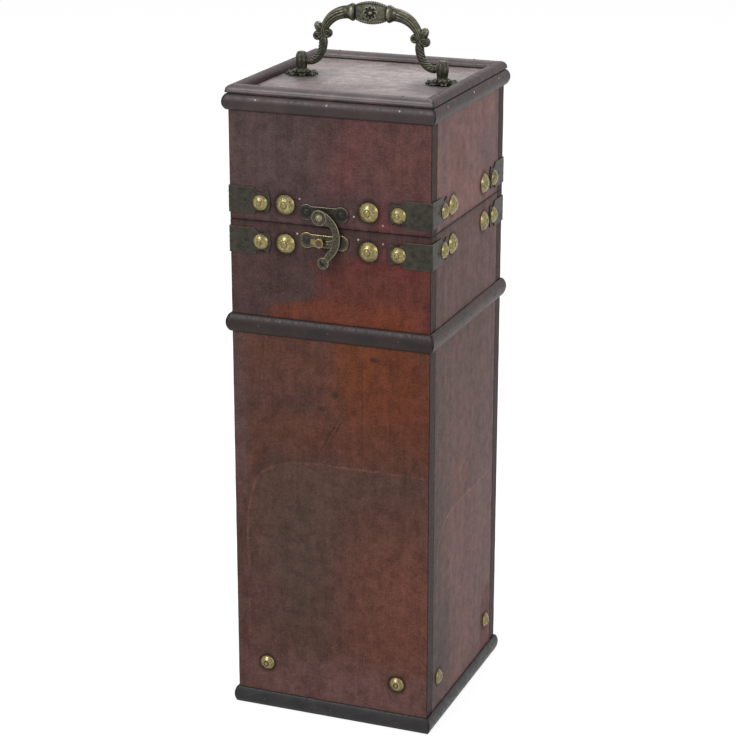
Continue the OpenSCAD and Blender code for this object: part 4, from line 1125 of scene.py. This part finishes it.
def ball(middle, size, wear=0.5):
    """A ball or egg: latitude by longitude, with half sizes along the three axes."""
    tilt = np.linspace(0.08, np.pi - 0.08, 11)[:, None]
    angle = once_round(16)
    grid = np.stack([np.sin(tilt) * np.cos(angle), np.sin(tilt) * np.sin(angle),
                     np.cos(tilt) + 0 * angle], axis=-1)
    return shell(np.array(middle) + grid * np.array(size), wear * np.cos(tilt) ** 2)


def tube(path, radius, wear, sides):
    """A bar along a path in space: rings square to it, of a radius that changes along it."""
    ahead = np.gradient(path, axis=0)
    ahead /= np.linalg.norm(ahead, axis=1, keepdims=True)
    side = np.cross(ahead, (0, 0, 1.0))
    side /= np.linalg.norm(side, axis=1, keepdims=True)
    top = np.cross(side, ahead)
    angle = once_round(sides)
    ring = side[:, None] * np.cos(angle)[:, None] + top[:, None] * np.sin(angle)[:, None]
    # The upper half of each ring gets more wear: a painted highlight along the top of the bar.
    return shell(path[:, None] + radius[:, None, None] * ring,
                 wear + 0.4 * np.maximum(np.sin(angle), 0))


def rosette(x):
    """A foot: a low disc, eight curled leaves round it, each a tongue with a raised rim, and a
    small coil on both sides of each leaf's tip. It is wider along the front than across it."""
    wide, slim = 1.04, 0.9

    def spread(along, over, up):
        """Points of the foot from their place along the front, across it and up."""
        along, over, up = np.broadcast_arrays(along, over, up)
        return np.stack([x + wide * along, handle_y + slim * over, top_z + up], axis=-1)

    radii = np.array([0.03, 1.5, 3.0, 4.2, 4.7, 4.6, 3.6, 1.8, 0.03])[:, None]
    ups = np.array([0.0, 0.0, 0.0, 0.0, 0.35, 0.9, 1.4, 1.6, 1.6])[:, None]
    angle = once_round(48)
    disc_r = radii * (1 + 0.05 * np.cos(8 * angle))
    shells = [shell(spread(disc_r * np.cos(angle), disc_r * np.sin(angle), ups), -0.5 + 0.3 * ups)]
    for leaf in range(8):
        heading = np.array([math.cos(leaf * np.pi / 4), math.sin(leaf * np.pi / 4)])
        cross = np.array([-heading[1], heading[0]])
        share = np.linspace(0, 1, 22)
        away = 3.3 + 4.9 * share - 0.7 * smooth((share - 0.85) / 0.15)
        lift = 0.75 + 0.35 * np.sin(np.pi * share) + 0.85 * smooth((share - 0.6) / 0.4)
        half = 0.25 + 1.35 * np.sin(np.pi * share ** 0.8) ** 0.8
        edge = np.minimum(0.3, half * 0.8)
        flat, thick, rounding = section(half, 0.34, edge, across=7, deep=1, corner=2)
        rim = 0.4 * np.abs(flat / half[:, None]) ** 2 * np.minimum(half, 1)[:, None]
        spot = away[:, None, None] * heading + flat[..., None] * cross
        wear = np.where(thick > 0, 1.6 * rim + 0.5 * rounding - 0.85, -1)
        shells.append(shell(spread(spot[..., 0], spot[..., 1],
                                   lift[:, None] + thick + rim - 0.3), wear))
        for hand in (-1, 1):
            turn, size, up, radius = np.linspace((0, 1.0, 0.55, 0.42),
                                                 (2.6 * np.pi, 0.25, 1.05, 0.34), 26).T
            coil = (6.9 * heading + hand * 1.75 * cross + (size * np.cos(turn))[:, None] * heading
                    + hand * (size * np.sin(turn))[:, None] * cross)
            shells.append(tube(spread(coil[:, 0], coil[:, 1], up), radius, -0.05, 8))
    for bead in range(10):
        turn = bead * np.pi / 5 + 0.3
        shells.append(ball((x + 4.0 * math.cos(turn), handle_y + 3.7 * math.sin(turn),
                            top_z + 1.75), (0.95, 0.95, 0.8)))
    return shells


for end_name, x in (("left", -post_x), ("right", post_x)):
    add_piece("ribbed_post_" + end_name, [bud(x)], handle_bronze, "lid", "handle_metal",
              "handle_post_" + end_name)
    add_piece("leafy_rosette_" + end_name, rosette(x), handle_bronze, "lid", "handle_metal",
              "handle_rosette_" + end_name)
dress("handle_screws", brad_steel)

# ---- Bail ---------------------------------------------------------------------------------
# One casting: two S-shaped arms with a rail and rope flutes, a knot of scrolls on each, fluted
# grip arms, two collars and a pointed oval with a beaded edge and a flower. It swings on pins.


def carved_bar(path, across, deep, relief, wear, hand):
    """A bar along a path in the handle's plane, given as (along, above the top board). Each ring
    is an ellipse, across in the plane and deep out of it, scaled by relief, an array of rings by
    points. hand mirrors it to the other arm."""
    ahead = np.gradient(path, axis=0)
    ahead /= np.linalg.norm(ahead, axis=1, keepdims=True)
    angle = once_round(relief.shape[1], -np.pi)
    in_plane = (across[:, None] * np.cos(angle)) * relief
    out = (deep[:, None] * np.sin(angle)) * relief
    x = path[:, :1] - ahead[:, 1:] * in_plane
    up = path[:, 1:] + ahead[:, :1] * in_plane
    return shell(np.stack([hand * x, handle_y + out, top_z + up], axis=-1), wear)


def way(path):
    """Distance along a path at each of its points."""
    return np.concatenate([[0], np.cumsum(np.linalg.norm(np.diff(path, axis=0), axis=1))])


def bumps(value, sharp=0.7):
    """Row of rounded ridges with sharp grooves between them, one for each step of 1 in value."""
    return np.abs(np.cos(np.pi * value)) ** sharp


def lower_arm(hand):
    """The arm from the pivot to the knot: a smooth rail on its outer bend, a groove along both
    faces, and slanting rope flutes on the inner bend."""
    path = curve([(37.6, 7.3), (36.2, 7.3), (34.2, 7.15), (31.0, 8.1), (28.4, 10.6), (26.9, 13.8),
                  (26.3, 17.3), (26.6, 20.2), (27.0, 22.4)], 160)
    run = way(path)
    across = np.interp(run, [0, 2.2, 3.2, 8, 18, 24], [1.3, 1.4, 1.95, 2.1, 2.4, 2.1])
    deep = np.interp(run, [0, 2.2, 3.2, 8, 18, 24], [1.3, 1.4, 1.9, 2.0, 2.2, 1.8])
    angle = np.abs(once_round(72, -np.pi))[None]
    shown = smooth((run - 3.4) / 1.2)[:, None]
    groove = peak(angle, 1.2, 0.15)
    rope = bumps(run[:, None] / 1.9 + 1.1 * angle, 0.8)
    fluted = smooth((angle - 1.3) / 0.25)
    relief = 1 - shown * (0.17 * groove + 0.2 * fluted * (1 - rope))
    wear = shown * (fluted * (1.5 * rope - 1.0) - 1.1 * groove + 0.35 * (1 - fluted))
    return carved_bar(path, across, deep, relief, wear, hand)


def grip_arm(hand):
    """The arm from the knot to the collar: it swells, with a rail along the top, four flutes on
    each face that end short of the collar, and a smooth saddle before the lip."""
    path = curve([(26.8, 20.6), (26.2, 22.6), (25.4, 25.2), (23.9, 27.7), (21.5, 30.3),
                  (18.4, 32.2), (14.8, 33.35), (10.6, 33.7)], 150)
    run = way(path)
    share = run / run[-1]
    across = np.interp(share, [0, 0.15, 0.5, 0.8, 0.9, 1], [1.7, 2.1, 2.9, 3.35, 3.35, 3.2])
    deep = np.interp(share, [0, 0.15, 0.5, 0.8, 0.9, 1], [1.6, 2.1, 2.5, 2.7, 2.5, 2.3])
    angle = np.abs(once_round(96, -np.pi))[None]
    shown = (smooth(share / 0.1) * smooth((0.87 - share) / 0.07))[:, None]
    rail = smooth((angle - 2.3) / 0.15)
    flutes = bumps(angle / 0.52 + 0.5, 0.4)
    ended = smooth((0.9 - share[:, None] - 0.03 * np.cos(angle * 12)) / 0.05)
    relief = 1 - shown * ended * 0.25 * (1 - rail) * (1 - flutes)
    relief = relief - 0.12 * shown * peak(angle, 2.3, 0.12)
    wear = shown * ((1 - rail) * (2.4 * flutes - 1.8) + 0.4 * rail)
    return carved_bar(path, across, deep, relief, wear, hand)


def scroll(middle, outer, start, turns, hand):
    """A volute: a bar that winds in towards its middle and gets thinner, with a small ball in its
    eye."""
    count, thick = 60, 2.0
    share = np.linspace(0, 1, count)
    angle = math.radians(start) - 2 * np.pi * turns * share
    bar = outer * (0.36 - 0.12 * share)
    away = (outer - bar[0]) * (1 - 0.62 * share)
    path = np.array(middle) + away[:, None] * np.stack([np.cos(angle), np.sin(angle)], axis=-1)
    ring = np.abs(once_round(24, -np.pi))[None]
    wear = 0.8 * peak(ring, np.pi / 2, 0.5) - 0.35 + 0 * share[:, None]
    coil = carved_bar(path, bar, thick * (1 - 0.15 * share), np.ones((count, 24)), wear, hand)
    eye_size = (outer * 0.26, thick * 1.02, outer * 0.26)
    return [coil, ball((hand * middle[0], handle_y, top_z + middle[1]), eye_size, 0.3)]


def petal_knob(hand):
    """The rounded bud on the outside of the knot: an egg with three grooves round its tip."""
    path = curve([(27.4, 22.6), (28.4, 24.4), (29.3, 26.4), (29.8, 27.9)], 40)
    share = np.linspace(0, 1, 40)
    size = 0.2 + 2.15 * np.sin(np.pi * (0.12 + 0.88 * share)) ** 0.6
    angle = once_round(48, -np.pi)[None]
    shown = smooth(share / 0.3)[:, None] * smooth((0.75 - share) / 0.3)[:, None]
    cut = shown * (1 - bumps(angle / 1.05, 0.5))
    return carved_bar(path, size, size * 0.95, 1 - 0.12 * cut, 0.5 - 1.3 * cut, hand)


def collar(hand):
    """The bell at the end of the grip arm: a smooth swelling, steep towards the oval and drawn out
    along the arm, taller than it is thick."""
    path = curve([(8.6, 33.75), (10.4, 33.72), (12.2, 33.6), (14.2, 33.3)], 60)
    share = np.linspace(0, 1, 60)
    swell = np.interp(share, [0, 0.05, 0.14, 0.3, 0.5, 0.75, 1],
                      [3.4, 4.1, 4.5, 4.6, 4.1, 3.45, 3.0])
    swell = np.convolve(np.pad(swell, 3, mode="edge"), np.ones(7) / 7, mode="valid")
    angle = once_round(48, -np.pi)[None]
    wear = 0.75 * smooth(swell - 3.6)[:, None] * np.abs(np.sin(angle)) - 0.1
    return carved_bar(path, swell, 0.68 * swell, 1 + 0 * wear, wear, hand)


def medallion():
    """The oval between the collars: rings across it, whose half height falls from the middle to
    the ends. Its faces are domed, with a rope edge, a sunk grainy field and a cut flower of eight
    petals round a boss."""
    half_l, half_h, thick, middle = 9.6, 5.75, 1.9, 33.85
    along = half_l * np.linspace(-1, 1, 240)[:, None]
    run_out = 1 - 0.42 * (along / half_l) ** 2
    angle = once_round(120, -np.pi)[None]
    rope = bumps(along / 1.2 + 0.25 * np.sign(np.sin(angle)), 0.8)
    up = half_h * run_out * np.sin(angle) * (0.97 + 0.055 * rope * np.abs(np.sin(angle)) ** 8)
    face = np.abs(np.cos(angle)) ** 0.45 * np.sign(np.cos(angle))
    level = np.abs(np.sin(angle))
    bead = peak(level, 0.93, 0.06)
    beads = bead * (0.1 + 0.9 * rope)
    field = smooth((0.84 - level) / 0.06) * smooth((half_l - 1.6 - np.abs(along)) / 0.6)
    away = np.hypot(along, up)
    petal = np.abs(np.cos(4 * np.arctan2(up, along + 1e-6)))
    outline = 3.5 * (0.55 + 0.45 * petal ** 0.8)
    cut = smooth((outline - away) / 0.3) * smooth((away - 1.0) / 0.3)
    ridge = peak(away, outline + 0.15, 0.3)
    boss = peak(away, 0, 0.85, 4)
    grit = wobble(along * 1.7 + up, 5, 0.9) * wobble(up * 1.9 - along, 6, 0.8)
    relief = 0.5 * beads + field * (0.3 * ridge - 0.45 * cut + 0.1 * grit - 0.25) + 0.5 * boss
    out = face * thick * run_out + np.sign(np.cos(angle)) * relief * np.abs(face)
    wear = (1.3 * beads - 1.6 * bead * (1 - rope) - 0.8 * (1 - field) * (1 - bead)
            + field * (0.35 + 1.1 * grit + 0.8 * ridge - 1.8 * cut) + boss)
    grid = np.stack([along + 0 * angle, handle_y + out, top_z + middle + up], axis=-1)
    return shell(grid, wear)


bail = [medallion()]
for hand in (-1, 1):
    bail += [lower_arm(hand), grip_arm(hand), petal_knob(hand), collar(hand)]
    bail += scroll((29.3, 20.5), 3.0, 150, 1.45, hand)
    bail += scroll((23.7, 22.4), 3.1, 40, 1.4, hand)
add_piece("cast_handle_bail", bail, handle_bronze, "handle", "handle_metal", "handle_bail")
